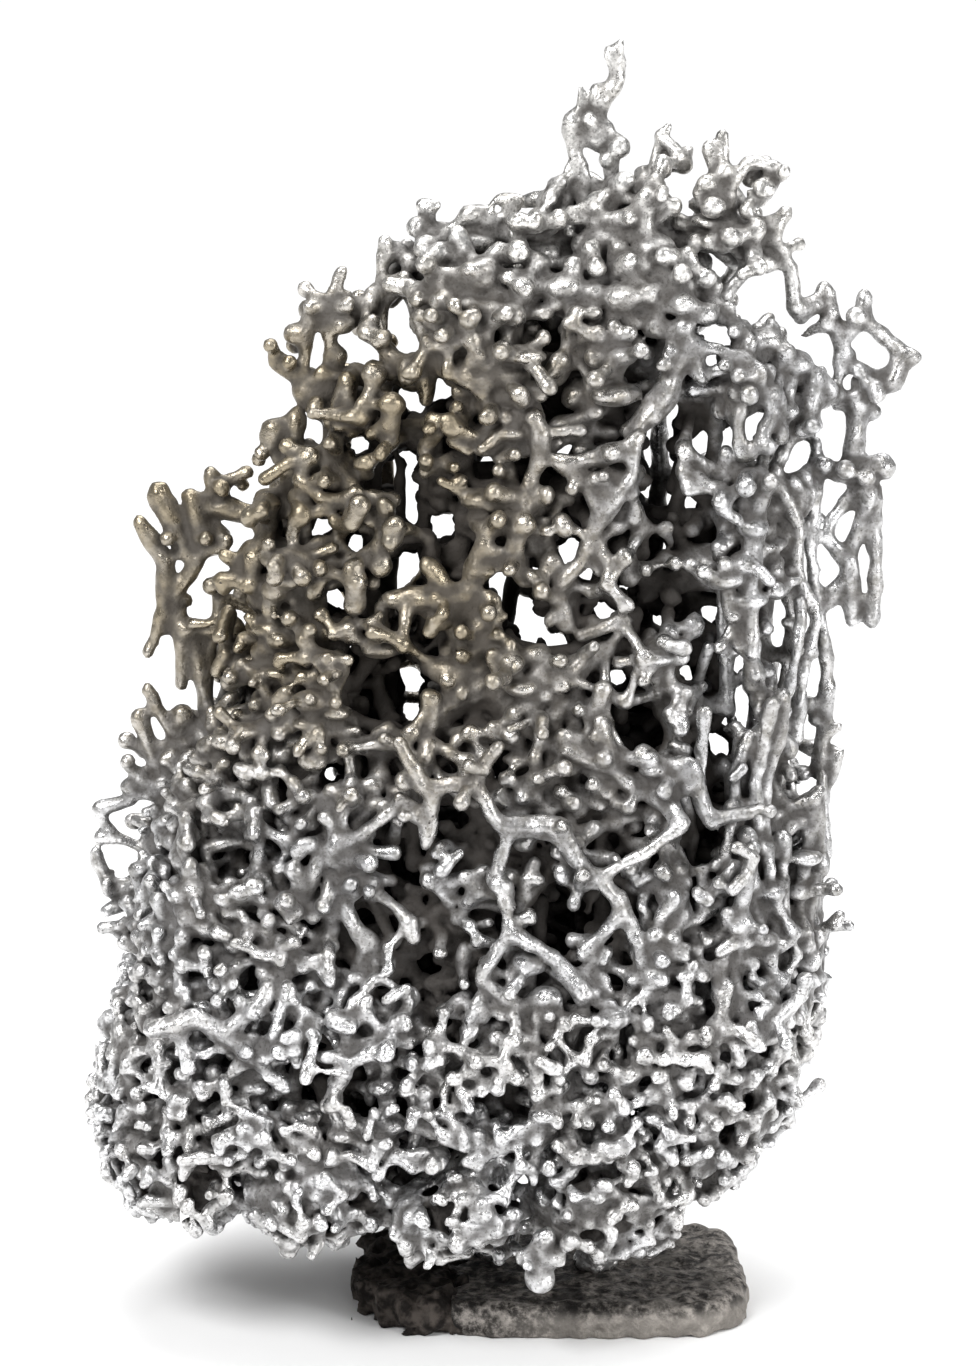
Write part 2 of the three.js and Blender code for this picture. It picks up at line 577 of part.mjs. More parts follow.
addTree('funnel_chamber', PALE, [0, -34, 8], [
  rod([2.6, 3.2, 3.2, 3.4], [1, 303], [9, 297], [16, 291], [17, 283]),
  rod([3.2, 2.6, 3.2], [27, 311], [29, 303], [25, 295], [18, 286]),
  rod([2.2, 2.4], [1, 303], [10, 303], [18, 303]),
  lobe([20, 306], 6, 4),
  lobe([19, 293], 7, 6, 4),
  rod([3, 2.6], [16, 284], [14, 277], [10, 268]),
  rod([2.8, 2.6], [10, 268], [6, 262], [2, 260]),
]);

addTree('forked_stem', GREY, [0, -28, 6.5], [
  rod([2, 2.2], [3, 291], [1, 284], [-2, 278]),
  rod([2, 2.4, 2.6], [-9, 281], [-3, 277], [1, 270], [0, 263]),
  rod([2.6, 3.2, 2.6], [0, 263], [5, 255], [7, 247], [13, 238]),
  rod([2.6, 2.6], [4, 261], [12, 262], [19, 259]),
  rod([3, 3], [13, 238], [3, 235], [-8, 237], [-18, 240]),
  rod([3, 2.6], [12, 240], [20, 233], [18, 224]),
  lobe([18, 222], 5, 4),
]);

addTree('star_chamber', PALE, [0, -34, 8], [
  rod([3, 4.4, 4.4], [-56, 255], [-45, 255], [-30, 256]),
  rod([2.8, 3], [-43, 268], [-40, 262], [-35, 257]),
  rod([4, 3.6, 2.6], [-36, 254], [-37, 247], [-33, 241]),
  rod([2.4, 3.2, 3.2], [-21, 281], [-26, 270], [-28, 258], [-28, 250]),
  rod([3, 2.4], [-21, 265], [-27, 266]),
  rod([2.4, 2], [-24, 274], [-19, 270]),
  lobe([-38, 251], 8, 5, 5),
]);

addTree('ringed_chamber', PALE, [0, -36, 8.5], [
  rod([3.6, 3.4], [-27, 238], [-20, 240], [-12, 236], [-11, 227], [-16, 221]),
  rod([3.6, 3.2], [-27, 238], [-30, 230], [-27, 222], [-18, 220]),
  rod([3, 2.4], [-21, 256], [-21, 247], [-19, 240]),
  lobe([-35, 230], 7, 6),
  rod([2.8, 3], [-18, 220], [-15, 212], [-17, 204]),
  rod([3, 3], [-28, 222], [-33, 214], [-42, 208]),
]);

addTree('dark_chamber', OLIVE, [0, -8, 2], [
  lobe([-38, 302], 8.5, 8, 6),
  lobe([-36, 315], 6, 5.5),
  rod([4, 4], [-37, 313], [-38, 304]),
  rod([2.4, 2.6], [-24, 302], [-26, 290], [-25, 280]),
  rod([1.9, 1.9], [-16.5, 302], [-17, 290], [-18, 280]),
  rod([2.4, 2.4], [-30, 302], [-22, 304], [-10, 300], [2, 296]),
  rod([2.4, 3, 2], [-43, 298], [-44, 290], [-44, 282]),
  lobe([-49, 277], 4.5, 4),
  rod([2, 2.2], [-44, 288], [-46, 279], [-40, 272], [-32, 272]),
]);

addTree('left_web', OLIVE, [0, -22, 5], [
  rod([2.6, 2.2], [-82, 264], [-79, 252], [-77, 244]),
  rod([2.3, 2.2], [-78, 246], [-70, 246.5], [-61, 246]),
  lobe([-83.5, 254], 4.8, 4.6),
  rod([4, 3.6, 3.2], [-84, 250], [-84, 240], [-88, 232]),
  rod([3, 3], [-88, 232], [-96, 232], [-105, 228], [-112, 226]),
  rod([3.4, 4, 5.4, 5], [-86, 234], [-80, 226], [-80, 209]),
  lobe([-80, 209], 7.5, 7, 5),
  rod([2.2, 2.4], [-101, 221], [-95, 222], [-90, 216], [-84, 214]),
  lobe([-95, 214], 5, 4.4),
  rod([2.4, 2.4], [-77, 212], [-70, 214], [-64, 216]),
]);

addTree('left_pale_node', BLUISH, [0, -14, 3.2], [
  lobe([-102, 273], 6.5, 6, 5),
  rod([2.6, 2.4], [-103, 268], [-104, 261], [-101, 254], [-96, 248]),
  rod([2.4, 2.4], [-96, 270], [-90, 264], [-84, 264]),
  rod([2.2, 2.4], [-114, 272], [-106, 266]),
  rod([3.4, 3.2], [-104, 246], [-94, 246], [-88, 245]),
  rod([2.4, 2.4], [-92, 246], [-93, 258], [-90, 264]),
]);

// ---------------------------------------------------------------- the lower left

addTree('left_loops', OLIVE, [0, -2, 0.5], [
  rod([3, 2.8, 2.6], [-144.5, 215], [-144, 207], [-138, 199], [-133, 190]),
  rod([2.2, 2.4, 2.4], [-138.5, 220], [-137, 211], [-127, 207], [-116, 215], [-111, 221]),
  lobe([-129, 215], 4.5, 4.5),
  lobe([-120, 206], 6.5, 4.8),
  rod([2.4, 2.6], [-133, 190], [-134, 178], [-138, 168]),
  rod([2.4, 2.4], [-143.5, 201], [-136, 200], [-126, 204]),
  rod([2.6, 2.4], [-133, 190], [-130, 203]),
  rod([2.6, 2.4], [-150, 189], [-143, 186], [-135, 184]),
  rod([2.8, 2.4], [-146, 194], [-140, 190], [-135, 186]),
  rod([3, 2.4, 2.6], [-108, 213], [-112, 202], [-111, 190], [-107, 181]),
  rod([2.4, 2.6], [-122, 209], [-111, 207]),
]);

addTree('left_sprig', BLUISH, [0, 0, 0], [
  rod([2.3, 2.2], [-160, 180.5], [-154, 183], [-147, 184]),
  rod([2, 2.2], [-160, 180.5], [-155.5, 176], [-155, 172]),
  rod([2.2, 2], [-160, 170.5], [-154, 172], [-146, 166], [-140, 164]),
  rod([2.6, 2.8], [-161, 165], [-162, 158], [-156, 152]),
  rod([3.4, 3.2], [-156, 152], [-146, 150], [-136, 152]),
  rod([2.8, 2.8], [-136, 152], [-140, 160], [-139, 170]),
  rod([2.4, 2.6], [-158, 143], [-150, 142], [-144, 148]),
]);

addTree('pale_beam', BLUISH, [0, -44, 10], [
  rod([3.4, 3.6, 3], [-130, 152], [-118, 149], [-104, 150], [-94, 154]),
  rod([1.6, 2.4, 2.4], [-97, 183], [-88, 177], [-78, 172], [-74, 168]),
  rod([2.4, 2.2], [-74, 178], [-75, 160], [-76, 146], [-76, 130]),
  rod([2.6, 2.8], [-104, 150], [-104, 160], [-100, 168]),
  rod([2.8, 2.4], [-94, 154], [-85, 153], [-76, 150]),
  rod([2.8, 3], [-94, 154], [-92, 144], [-90, 134]),
  lobe([-118, 148], 7, 5, 5),
]);

addTree('long_lip', BLUISH, [0, -62, 0], [
  rod([3, 3.6, 3.4, 3], [-138, 119], [-128, 123], [-116, 121], [-106, 113]),
  rod([2.6, 3], [-128, 122], [-130, 112], [-124, 104]),
  rod([2.8, 3], [-112, 118], [-106, 126], [-98, 130]),
  lobe([-104, 112], 6, 5, 5),
  rod([2.8, 3], [-104, 112], [-96, 104], [-92, 98]),
]);

addTree('hanging_column', BLUISH, [0, -52, 0], [
  lobe([-72, 182], 6, 5.5, 5),
  rod([2.6, 2.4, 3.4], [-72, 178], [-70, 168], [-71, 159]),
  rod([2.4, 2.6], [-78, 192], [-72, 184]),
  rod([2.4, 2.4], [-66, 184], [-58, 188], [-52, 196]),
  rod([2.6, 2.4], [-78, 180], [-84, 172], [-86, 160]),
  rod([2.8, 2.8], [-71, 160], [-64, 150], [-66, 138], [-68, 129]),
  rod([2.4, 2.6], [-64, 150], [-56, 144], [-52, 136]),
]);

// ---------------------------------------------------------------- the lower front

addTree('front_chain', GREY, [0, -58, 0], [
  rod([2.8, 2.6, 2.6], [-44, 203], [-34, 204], [-27, 205]),
  rod([2.6, 3, 4.4], [-27, 205], [-21, 192], [-10, 188], [-1, 189]),
  rod([2.6, 2.6], [-27, 205], [-24, 214], [-18, 218]),
  lobe([1, 189.5], 5.5, 4.6),
  rod([2.4, 2.4], [-14, 189], [-16, 180], [-20, 172]),
  rod([2.6, 2.6], [-44, 203], [-50, 210], [-52, 220]),
  rod([2.6, 2.4], [-40, 203], [-44, 194], [-43, 182]),
]);

addTree('crossed_branch', PALE, [0, -58, 0], [
  rod([2.2, 3, 2.2], [31, 180], [18, 173], [9, 168]),
  rod([2.2, 3, 2.6, 2.8], [9, 177], [18, 172], [24, 160], [31, 144], [34, 128]),
  rod([2.4, 2.4], [24, 160], [16, 152], [10, 144]),
  rod([2.6, 2.6], [31, 145], [40, 140], [46, 146]),
  rod([2.2, 2.6], [31, 180], [39, 184], [44, 190]),
]);

addTree('knuckle_chamber', PALE, [0, -48, 0], [
  lobe([44, 207], 7, 6.5, 6),
  lobe([37, 199], 8, 5.5, 6),
  rod([3, 3], [30, 214], [36, 208], [40, 204]),
  rod([3.4, 3.4, 3], [47, 207], [55, 199], [54, 188]),
  rod([3, 3], [30, 199], [22, 206], [14, 210], [4, 214]),
  rod([2.8, 2.6], [22, 206], [20, 216], [16, 224]),
  rod([2.6, 2.6], [54, 190], [62, 188], [68, 192]),
]);

addTree('drop_strut', PALE, [0, -62, 0], [
  rod([2.2, 2.2], [-18, 170], [-20, 163], [-15, 156]),
  rod([2.2, 2.2], [-15, 170], [-10, 164], [-15, 156]),
  rod([2.8, 2.6, 3.6], [-15, 154], [-4, 146], [7, 141], [11, 131]),
  lobe([11, 131], 4, 4.8),
  lobe([-3, 129], 8, 7, 6),
  rod([3, 2.8], [-10, 126], [-18, 128], [-24, 136]),
  rod([2.8, 2.8], [-15, 153], [-24, 150], [-24, 138]),
  rod([3, 3], [-2, 122], [-1, 112], [5, 102]),
  lobe([7, 100], 6.5, 6, 5),
]);

addTree('right_ring_low', GREY, [0, -52, 0], [
  rod([3, 3], [62, 124], [71, 120], [72, 110], [64, 104]),
  rod([3, 3], [62, 124], [54, 118], [55, 108], [64, 104]),
  rod([2.8, 2.6], [64, 125], [62, 138], [66, 152]),
  rod([2.8, 2.8], [54, 117], [44, 118], [36, 126]),
  rod([2.6, 2.6], [72, 114], [82, 118], [86, 128]),
  lobe([64, 154], 6, 5.4),
  rod([2.6, 2.4], [64, 156], [70, 166], [68, 178]),
]);

// ---------------------------------------------------------------- shafts behind the front

// Long shafts that fill the nest behind the drawn trees: [across, back, lowest, highest].
const DEEP_SHAFTS = [
  [-104, 30, 80, 254],
  [-60, 36, 80, 300],
  [-12, 40, 80, 330],
  [34, 34, 80, 340],
  [72, 34, 90, 300],
];

DEEP_SHAFTS.forEach(([across, back, lowest, highest], index) => {
  const random = seededRandom(`deep shaft ${index}`);
  const wander = () => between(random, -6, 6);
  const points = [];
  for (let up = lowest; up <= highest; up += (highest - lowest) / 5 - 0.01) {
    points.push([across + wander(), up, wander()]);
  }
  addTree(`deep_shaft_${index + 1}`, GREY, [0, back, 0], [
    rod([2.8, 3.2, 2.6, 3, 2.4], ...points),
    lobe(points[1], CHAMBER_RADIUS, 5.4),
    lobe(points[3], CHAMBER_RADIUS, 5),
  ], 2);
});

// ---------------------------------------------------------------- the dense clumps next to the slab

// Levels of clumps, from the slab up: [across, back, up] of each.
const CLUMPS = {
  front: [[-134, -42, 62], [-84, -50, 60], [-32, -48, 54], [20, -48, 54], [60, -40, 76]],
  middle: [[-138, 2, 60], [-92, 0, 50], [-44, 0, 50], [6, 2, 56], [54, 6, 64]],
  back: [[-112, 46, 68], [-56, 52, 62], [0, 50, 58], [50, 48, 80]],
};
const CLUMP_KNOB_COUNT = 9;

// The knobs of a clump are spread evenly over it, then shifted a little.
function addClump(name, centre) {
  const random = seededRandom(name);
  const knobs = Array.from({ length: CLUMP_KNOB_COUNT }, (_, i) => {
    const rise = 1 - (2 * (i + 0.5)) / CLUMP_KNOB_COUNT;
    const level = Math.sqrt(1 - rise * rise);
    const bearing = i * 2.4 + between(random, -0.5, 0.5);
    const shift = between(random, -0.2, 0.2);
    return new THREE.Vector3(level * Math.cos(bearing), level * Math.sin(bearing), rise + shift).normalize();
  });
  const place = new THREE.Vector3(...centre).multiply(STRETCH);
  const members = [{ clump: place, knobs }];
  const tint = centre[0] < -50 ? BLUISH : GREY;
  trees.push({ name, tint, members, balls: members.flatMap(ballsOf), sideGalleries: 0, random });
}

for (const [level, centres] of Object.entries(CLUMPS)) {
  centres.forEach((centre, index) => addClump(`clump_${level}_${index + 1}`, centre));
}

// The small bunch of balls that hangs lowest, in front of the slab.
addTree('pendant_balls', PALE, [0, -68, 0], [
  lobe([-4, 31], 6.5, 5.5, 5.5),
  lobe([-8, 39], 5, 4.5, 4.5),
  lobe([1, 39.5], 5, 4.5, 4.5),
  rod([3.4, 3], [-4, 32], [-4, 46]),
]);

// ---------------------------------------------------------------- entrance necks

const NECKS = [
  ['entry_neck_left', -22, 8],
  ['entry_neck_right', 16, -6],
];

// A neck runs down into the slab, and is cut level with the slab's top in the assembly below.
for (const [name, across, back] of NECKS) {
  const root = (SLAB_THICKNESS * 0.6) / STRETCH.z;
  addTree(name, GREY, [across, back, 0], [
    rod([NECK_RADIUS, NECK_RADIUS * 0.8, NECK_RADIUS * 0.9], [0, root], [2, 28], [0, 42]),
  ]);
}

// ---------------------------------------------------------------- the slab

// The smooth right part: straight sides, large round corners and a softly bevelled edge.
function slabSolid() {
  const bevel = SLAB_THICKNESS * 0.3;
  const left = -SLAB_WIDTH / 2 + CRUST_WIDTH + JOINT_GAP + bevel;
  const right = SLAB_WIDTH / 2 - bevel;
  const front = -SLAB_DEPTH / 2 + bevel;
  const back = SLAB_DEPTH / 2 - bevel;
  const outline = new THREE.Shape();
  outline.moveTo(left, front + 3);
  outline.quadraticCurveTo(left / 2, front, right * 0.6, front);
  outline.quadraticCurveTo(right, front, right, front * 0.45);
  outline.lineTo(right - 1, back * 0.5);
  outline.quadraticCurveTo(right - 2, back, right * 0.55, back);
  outline.quadraticCurveTo(0, back - 2, left, back - 5);
  const geometry = new THREE.ExtrudeGeometry(outline, {
    depth: SLAB_THICKNESS - bevel,
    bevelEnabled: true,
    bevelThickness: bevel,
    bevelSize: bevel,
    bevelSegments: 1,
    curveSegments: 5,
  });
  // The lower bevel is pressed flat, so that the underside is one flat face.
  const position = geometry.attributes.position;
  for (let i = 0; i < position.count; i += 1) {
    position.setZ(i, Math.max(position.getZ(i), 0));
  }
  return solidFrom(geometry);
}

// The ragged left end, cracked and crusted with baked dirt.
function crustSolid() {
  const left = -SLAB_WIDTH / 2;
  const right = left + CRUST_WIDTH;
  const front = -SLAB_DEPTH / 2;
  const back = SLAB_DEPTH / 2;
  const outline = new THREE.Shape([
    [right, front + 6], [right - 6, front + 1], [right - 10, front + 4], [right - 15, front + 2],
    [right - 19, front + 12], [left + 9, front + 11], [left + 8, front + 20], [left + 2, front + 24],
    [left + 3, front + 33], [left, front + 42], [left + 5, front + 52], [left + 3, back - 26],
    [left + 10, back - 18], [left + 14, back - 9], [right, back - 8],
  ].map(([x, y]) => new THREE.Vector2(x, y)));
  const geometry = new THREE.ExtrudeGeometry(outline, { depth: CRUST_THICKNESS, bevelEnabled: false });
  return solidFrom(geometry);
}

// ---------------------------------------------------------------- assembly

const MATERIALS = {
  [PALE]: { color: 0xd3d2cf, roughness: 0.34 },
  [OLIVE]: { color: 0xb2aa9a, roughness: 0.42 },
  [GREY]: { color: 0xbcbab6, roughness: 0.45 },
  [BLUISH]: { color: 0xc4c8cd, roughness: 0.33 },
  slab: { color: 0x5f5954, roughness: 0.8 },
  crust: { color: 0x26221f, roughness: 0.95 },
};

function meshOf(name, solid, tint) {
  const { vertProperties, triVerts } = solid.getMesh();
  const geometry = new THREE.BufferGeometry();
  geometry.setAttribute('position', new THREE.BufferAttribute(new Float32Array(vertProperties), 3));
  geometry.setIndex(new THREE.BufferAttribute(new Uint32Array(triVerts), 1));
  geometry.computeVertexNormals();
  const material = new THREE.MeshStandardMaterial({ metalness: 0.9, ...MATERIALS[tint] });
  const mesh = new THREE.Mesh(geometry, material);
  mesh.name = name;
  return mesh;
}

const join = (solids) => solids.reduce((whole, part) => whole.add(part));
const largestOf = (solid) => solid.decompose().reduce((a, b) => (b.volume() > a.volume() ? b : a));

function touches(tree, member) {
  return ballsOf(member).some((ball) => tree.balls.some(
    (own) => own.centre.distanceTo(ball.centre) < own.radius + ball.radius + 2,
  ));
}

// A tree as one solid, cut back by the joint gap where earlier trees pass through it.
function carved(tree, earlier) {
  let solid = join(tree.members.map((member) => solidOf(member)));
  const neighbours = earlier.flatMap((other) => other.members).filter((member) => touches(tree, member));
  if (neighbours.length > 0) {
    solid = solid.subtract(join(neighbours.map((member) => solidOf(member, JOINT_GAP))));
  }
  return largestOf(solid.trimByPlane([0, 0, 1], SLAB_THICKNESS + JOINT_GAP));
}

const meets = (solid, others) => others.some((other) => solid.minGap(other, MEETING) < MEETING);

// Straight galleries that could join a tree to the earlier ones, the shortest first.
function bridges(tree, earlier) {
  const pairs = earlier.flatMap((other) => other.balls.flatMap((far) => tree.balls.map((near) => ({
    far: far.centre,
    near: near.centre,
    length: far.centre.distanceTo(near.centre) - far.core - near.core,
  }))));
  pairs.sort((a, b) => a.length - b.length);
  const radius = SHAFT_RADIUS * 1.1;
  const isClear = ({ near, far }) => [0.2, 0.4, 0.6, 0.8].every(
    (share) => clearOfWays(near.clone().lerp(far, share), radius),
  );
  const clear = pairs.slice(0, BRIDGE_PAIRS).filter(isClear);
  return [...clear, pairs[0]].map(({ near, far }) => ({
    points: [near.clone(), far.clone()],
    radii: [radius * 1.2, radius, radius * 1.2],
  }));
}

// A tree's solid, with one more gallery if it would otherwise not reach any earlier tree.
function hungTogether(tree, earlier, earlierSolids) {
  const solid = carved(tree, earlier);
  if (earlier.length === 0 || meets(solid, earlierSolids)) return solid;
  for (const bridge of bridges(tree, earlier)) {
    const members = [...tree.members, bridge];
    const longer = carved({ members, balls: [...tree.balls, ...ballsOf(bridge)] }, earlier);
    if (meets(longer, earlierSolids)) {
      tree.members.push(bridge);
      tree.balls.push(...ballsOf(bridge));
      return longer;
    }
  }
  return solid;
}

const nest = new THREE.Group();
nest.add(meshOf('pour_slab', slabSolid(), 'slab'));
nest.add(meshOf('slab_crust', crustSolid(), 'crust'));

const solids = [];
trees.forEach((tree, index) => {
  grow(tree, tree.sideGalleries, tree.random);
  solids.push(hungTogether(tree, trees.slice(0, index), solids));
  nest.add(meshOf(tree.name, solids[index], tree.tint));
});

export default nest;
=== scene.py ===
"""Looks for a cast aluminium ant nest that stands upside down on its pour slab.

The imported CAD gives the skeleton: gallery trees, dense clumps and the slab. This script turns them into one
volume of metal, adds fine galleries and knobs by seeded rule, and meshes one piece for each CAD node.
Lengths are millimetres while the metal is built, and metres once it becomes a Blender mesh.
"""

import math

import bpy
import numpy as np
import openvdb
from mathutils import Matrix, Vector


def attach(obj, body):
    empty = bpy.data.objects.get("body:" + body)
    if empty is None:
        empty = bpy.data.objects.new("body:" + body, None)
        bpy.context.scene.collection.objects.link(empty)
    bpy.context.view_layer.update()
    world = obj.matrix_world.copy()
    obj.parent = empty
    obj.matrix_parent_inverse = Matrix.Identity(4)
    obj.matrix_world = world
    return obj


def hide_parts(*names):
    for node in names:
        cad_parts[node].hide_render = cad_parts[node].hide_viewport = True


MM = 0.001


# ------------------------------------------------------------------ camera

CAMERA_TARGET = Vector((-22, 0, 226)) * MM
CAMERA_DISTANCE = 1500 * MM
CAMERA_ELEVATION = math.radians(13)
CAMERA_LENS = 112.95  # on a 36 mm sensor, long side


def make_camera():
    back = Vector((0, -math.cos(CAMERA_ELEVATION), math.sin(CAMERA_ELEVATION)))
    data = bpy.data.cameras.new("camera")
    data.lens = CAMERA_LENS
    data.sensor_width = 36
    camera = bpy.data.objects.new("camera", data)
    camera.location = CAMERA_TARGET + back * CAMERA_DISTANCE
    camera.rotation_euler = (-back).to_track_quat("-Z", "Y").to_euler()
    bpy.context.scene.collection.objects.link(camera)
    bpy.context.scene.camera = camera


make_camera()
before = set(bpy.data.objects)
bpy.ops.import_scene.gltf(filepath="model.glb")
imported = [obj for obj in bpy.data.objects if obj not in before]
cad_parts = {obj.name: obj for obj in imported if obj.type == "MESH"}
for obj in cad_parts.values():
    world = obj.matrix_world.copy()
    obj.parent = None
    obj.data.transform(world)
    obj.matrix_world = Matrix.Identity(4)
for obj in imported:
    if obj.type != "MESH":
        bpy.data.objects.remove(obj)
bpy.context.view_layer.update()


# ------------------------------------------------------------------ driving sizes, in millimetres

VOXEL = 1.15
MARGIN = 7  # empty space round the metal in the volume
BLEND = 2.3  # sharpness of the fillet where two galleries meet, per millimetre
REACH = 2.5  # how far outside its surface a gallery still adds to a fillet

SHAFT_SPACING = 15
SHAFT_STEP = 7
SHAFT_FLOOR = 70
CURTAIN_ROWS = (-46, -34, -20, -4, 14, 32, 50)  # how far back each row of thin parallel shafts stands
CURTAIN_SPACING = 9
LINK_EVERY = 17
CHAMBER_EVERY = 24
KNOB_SPACING = 6.3
TREE_SWELL = 0.6  # the CAD's four-sided shafts are a little thinner than round ones
CLUMP_CORE = 9  # how deep under a clump's surface its solid core starts
SHAFT_DEPTH = 46  # no shaft stands deeper inside the nest, where it wouldn't be seen
SKIN_DEPTH = 3.8  # how deep under a clump's surface its torn skin lies
SKIN_HALF = 1.2  # half the torn skin's thickness
CREASE_SHADE_BLUR = 7  # passes of smoothing behind the reading of creases, where the metal is painted darker as shade
SOOT_AND_SHADE_DEPTH = (8, 27)  # soot and painted shade start, and are complete, this deep inside the nest
COARSE = 4.0  # voxel of the volume that shares the metal out between the CAD nodes
FAR = 60.0  # a node farther off than this doesn't compete for metal
TAPER = 0.3  # how fast a piece thins out past its own share, per millimetre
SLAB_VOXEL = 0.9
ROOM_LIGHT = 0.36  # of the white that the camera sees round the object

# Outlying galleries, whose stub fingers are kept short.
ARMS = ("left_arm", "right_arm", "left_sprig", "outer_shaft", "spire", "pendant_balls")
SLAB_NODES = ("pour_slab", "slab_crust")

random = np.random.default_rng(20)


def node_mesh(name):
    """A CAD node's corners in millimetres, and its triangles."""
    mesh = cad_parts[name].data
    mesh.calc_loop_triangles()
    corners = np.zeros(len(mesh.vertices) * 3, np.float32)
    mesh.vertices.foreach_get("co", corners)
    triangles = np.zeros(len(mesh.loop_triangles) * 3, np.int32)
    mesh.loop_triangles.foreach_get("vertices", triangles)
    return corners.reshape(-1, 3) / MM, triangles.reshape(-1, 3)


clump_nodes = sorted(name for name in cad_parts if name.startswith("clump_"))
tree_nodes = sorted(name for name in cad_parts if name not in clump_nodes and name not in SLAB_NODES)
corners_of = {name: node_mesh(name)[0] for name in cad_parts}


def smooth(values, low, high):
    """0 at low, 1 at high, and a smooth rise between them."""
    share = np.clip((values - low) / (high - low), 0, 1)
    return share * share * (3 - 2 * share)


# ------------------------------------------------------------------ open ways through the nest

# These are lines of sight from the camera, where daylight shows through the nest.
# They hold for that one view.
# They fan out from about the camera's place: [across, up, radius] where each crosses the middle plane.
FAN_POINT = np.array([-22.0, -1460.0, 563.0])
OPEN_WAYS = np.array([
    [-54, 355, 5], [-49, 345, 3], [-37, 329, 2.5], [-47, 325, 3], [-80, 314, 2], [-80, 341, 2],
    [-67, 343, 5], [-66, 310, 2], [-58, 301, 3.5], [-50, 305, 4], [-50, 295, 4], [-48, 286, 3.5],
    [-106, 277, 3], [-80, 282, 3], [-67, 276, 2.5], [-37, 282, 3.5], [-50, 268, 5], [-56, 259, 4],
    [-75, 256, 3], [-17, 261, 3], [-12, 254, 4], [-7, 246, 5], [3, 240, 3], [-49, 228, 3],
    [5, 273, 2.5], [12, 266, 2.5], [18, 252, 2], [4, 307, 2.5], [-22, 304, 2], [36, 275, 2],
    [36, 248, 2.5], [23, 228, 3], [41, 323, 2.5], [36, 314, 3], [38, 303, 4], [35, 293, 2.5],
    [45, 290, 3], [52, 311, 3], [61, 313, 2], [70, 318, 3.5], [68, 308, 3], [57, 348, 3.5],
    [54, 338, 3], [67, 358, 4], [79, 358, 2.5], [62, 366, 2.5], [72, 366, 2.5], [53, 375, 2],
    [83, 306, 5], [79, 252, 3], [79, 240, 2.5], [96, 270, 5], [96, 260, 4], [102, 281, 4],
    [55, 251, 2.5], [66, 221, 2.5], [69, 212, 2], [59, 204, 3.5], [48, 230, 2.5], [64, 233, 1.5],
    [58, 176, 2.5], [98, 183, 2], [-108, 253, 2], [-124, 252, 2.5], [-120, 224, 3], [110, 345, 6],
    [-78, 193, 2], [-155, 177, 3], [-14, 393, 2], [44, 398, 3], [-49, 215, 2],
])


def way_clearance(points):
    """How far each point is from the wall of the nearest open way. It is negative inside one."""
    middles = np.stack([OPEN_WAYS[:, 0], np.zeros(len(OPEN_WAYS)), OPEN_WAYS[:, 1]], 1)
    headings = middles - FAN_POINT
    headings /= np.linalg.norm(headings, axis=1, keepdims=True)
    offsets = points - FAN_POINT
    along = offsets @ headings.T
    squared = (offsets**2).sum(1)[:, None] - along**2
    return (np.sqrt(np.maximum(squared, 0)) - 0.85 * OPEN_WAYS[:, 2]).min(1)


# ------------------------------------------------------------------ the outline of the nest

# Level by level: [height, left, right, front, back].
OUTLINE = np.array([
    [24, -88, 44, -58, 50],
    [45, -156, 62, -74, 70],
    [75, -166, 88, -80, 82],
    [110, -158, 100, -80, 88],
    [150, -156, 101, -74, 84],
    [184, -148, 100, -68, 78],
    [220, -134, 96, -60, 70],
    [256, -128, 96, -54, 62],
    [292, -118, 108, -48, 54],
    [328, -98, 108, -42, 46],
    [364, -76, 88, -34, 36],
    [390, -40, 82, -28, 28],
    [404, 4, 72, -18, 18],
    [414, 10, 60, -12, 12],
])


def depth_inside(points):
    """About how deep each point lies inside the outline at its own level. It is negative outside."""
    left, right, front, back = (np.interp(points[:, 2], OUTLINE[:, 0], OUTLINE[:, k]) for k in (1, 2, 3, 4))
    wide, deep = (right - left) / 2, (back - front) / 2
    u = abs(points[:, 0] - (left + right) / 2) / wide
    v = abs(points[:, 1] - (front + back) / 2) / deep
    depth = (1 - (u**2.6 + v**2.6) ** (1 / 2.6)) * np.minimum(wide, deep)
    over = np.maximum(points[:, 2] - OUTLINE[-1, 0], OUTLINE[0, 0] - points[:, 2])
    return np.minimum(depth, -over)


# Dark hollows that open towards the camera: [across, back, up, half width, half depth, half height].
# Their depth is a guess.
HOLLOWS = np.array([
    [-26, -58, 188, 22, 15, 10],
    [-66, -58, 152, 10, 15, 13],
    [-42, -60, 136, 8, 13, 10],
    [-92, -68, 98, 17, 16, 9],
    [-16, -68, 94, 12, 14, 7],
    [20, -58, 160, 11, 18, 15],
    [50, -54, 186, 9, 16, 14],
    [-112, -46, 176, 12, 16, 10],
    [-62, -38, 232, 11, 17, 14],
    [-30, -38, 276, 12, 17, 15],
    [22, -32, 318, 12, 15, 12],
    [44, -36, 262, 10, 16, 13],
])


def in_hollow(points):
    reach = (points[:, None, :] - HOLLOWS[:, :3]) / HOLLOWS[:, 3:]
    return ((reach**2).sum(2) < 1).any(1)


def behind_front(points):
    """Above the dense part, the fill stays behind the trees that were drawn at the front."""
    front = np.interp(points[:, 2], OUTLINE[:, 0], OUTLINE[:, 3])
    return points[:, 1] > front + np.interp(points[:, 2], [105, 135, 300, 400], [0, 16, 12, 4])


# ------------------------------------------------------------------ galleries

rods = []  # start, end, start radius, end radius
chambers = []  # centre, half sizes, bearing


def add_rod(points, radii):
    """Galleries are thicker near the top of the casting, the deepest part of the nest."""
    for i in range(len(points) - 1):
        first, second = (
            radii[k] * np.interp(points[k][2], [90, 220, 400], [0.95, 1.1, 1.35]) for k in (i, i + 1)
        )
        rods.append((points[i], points[i + 1], first, second))


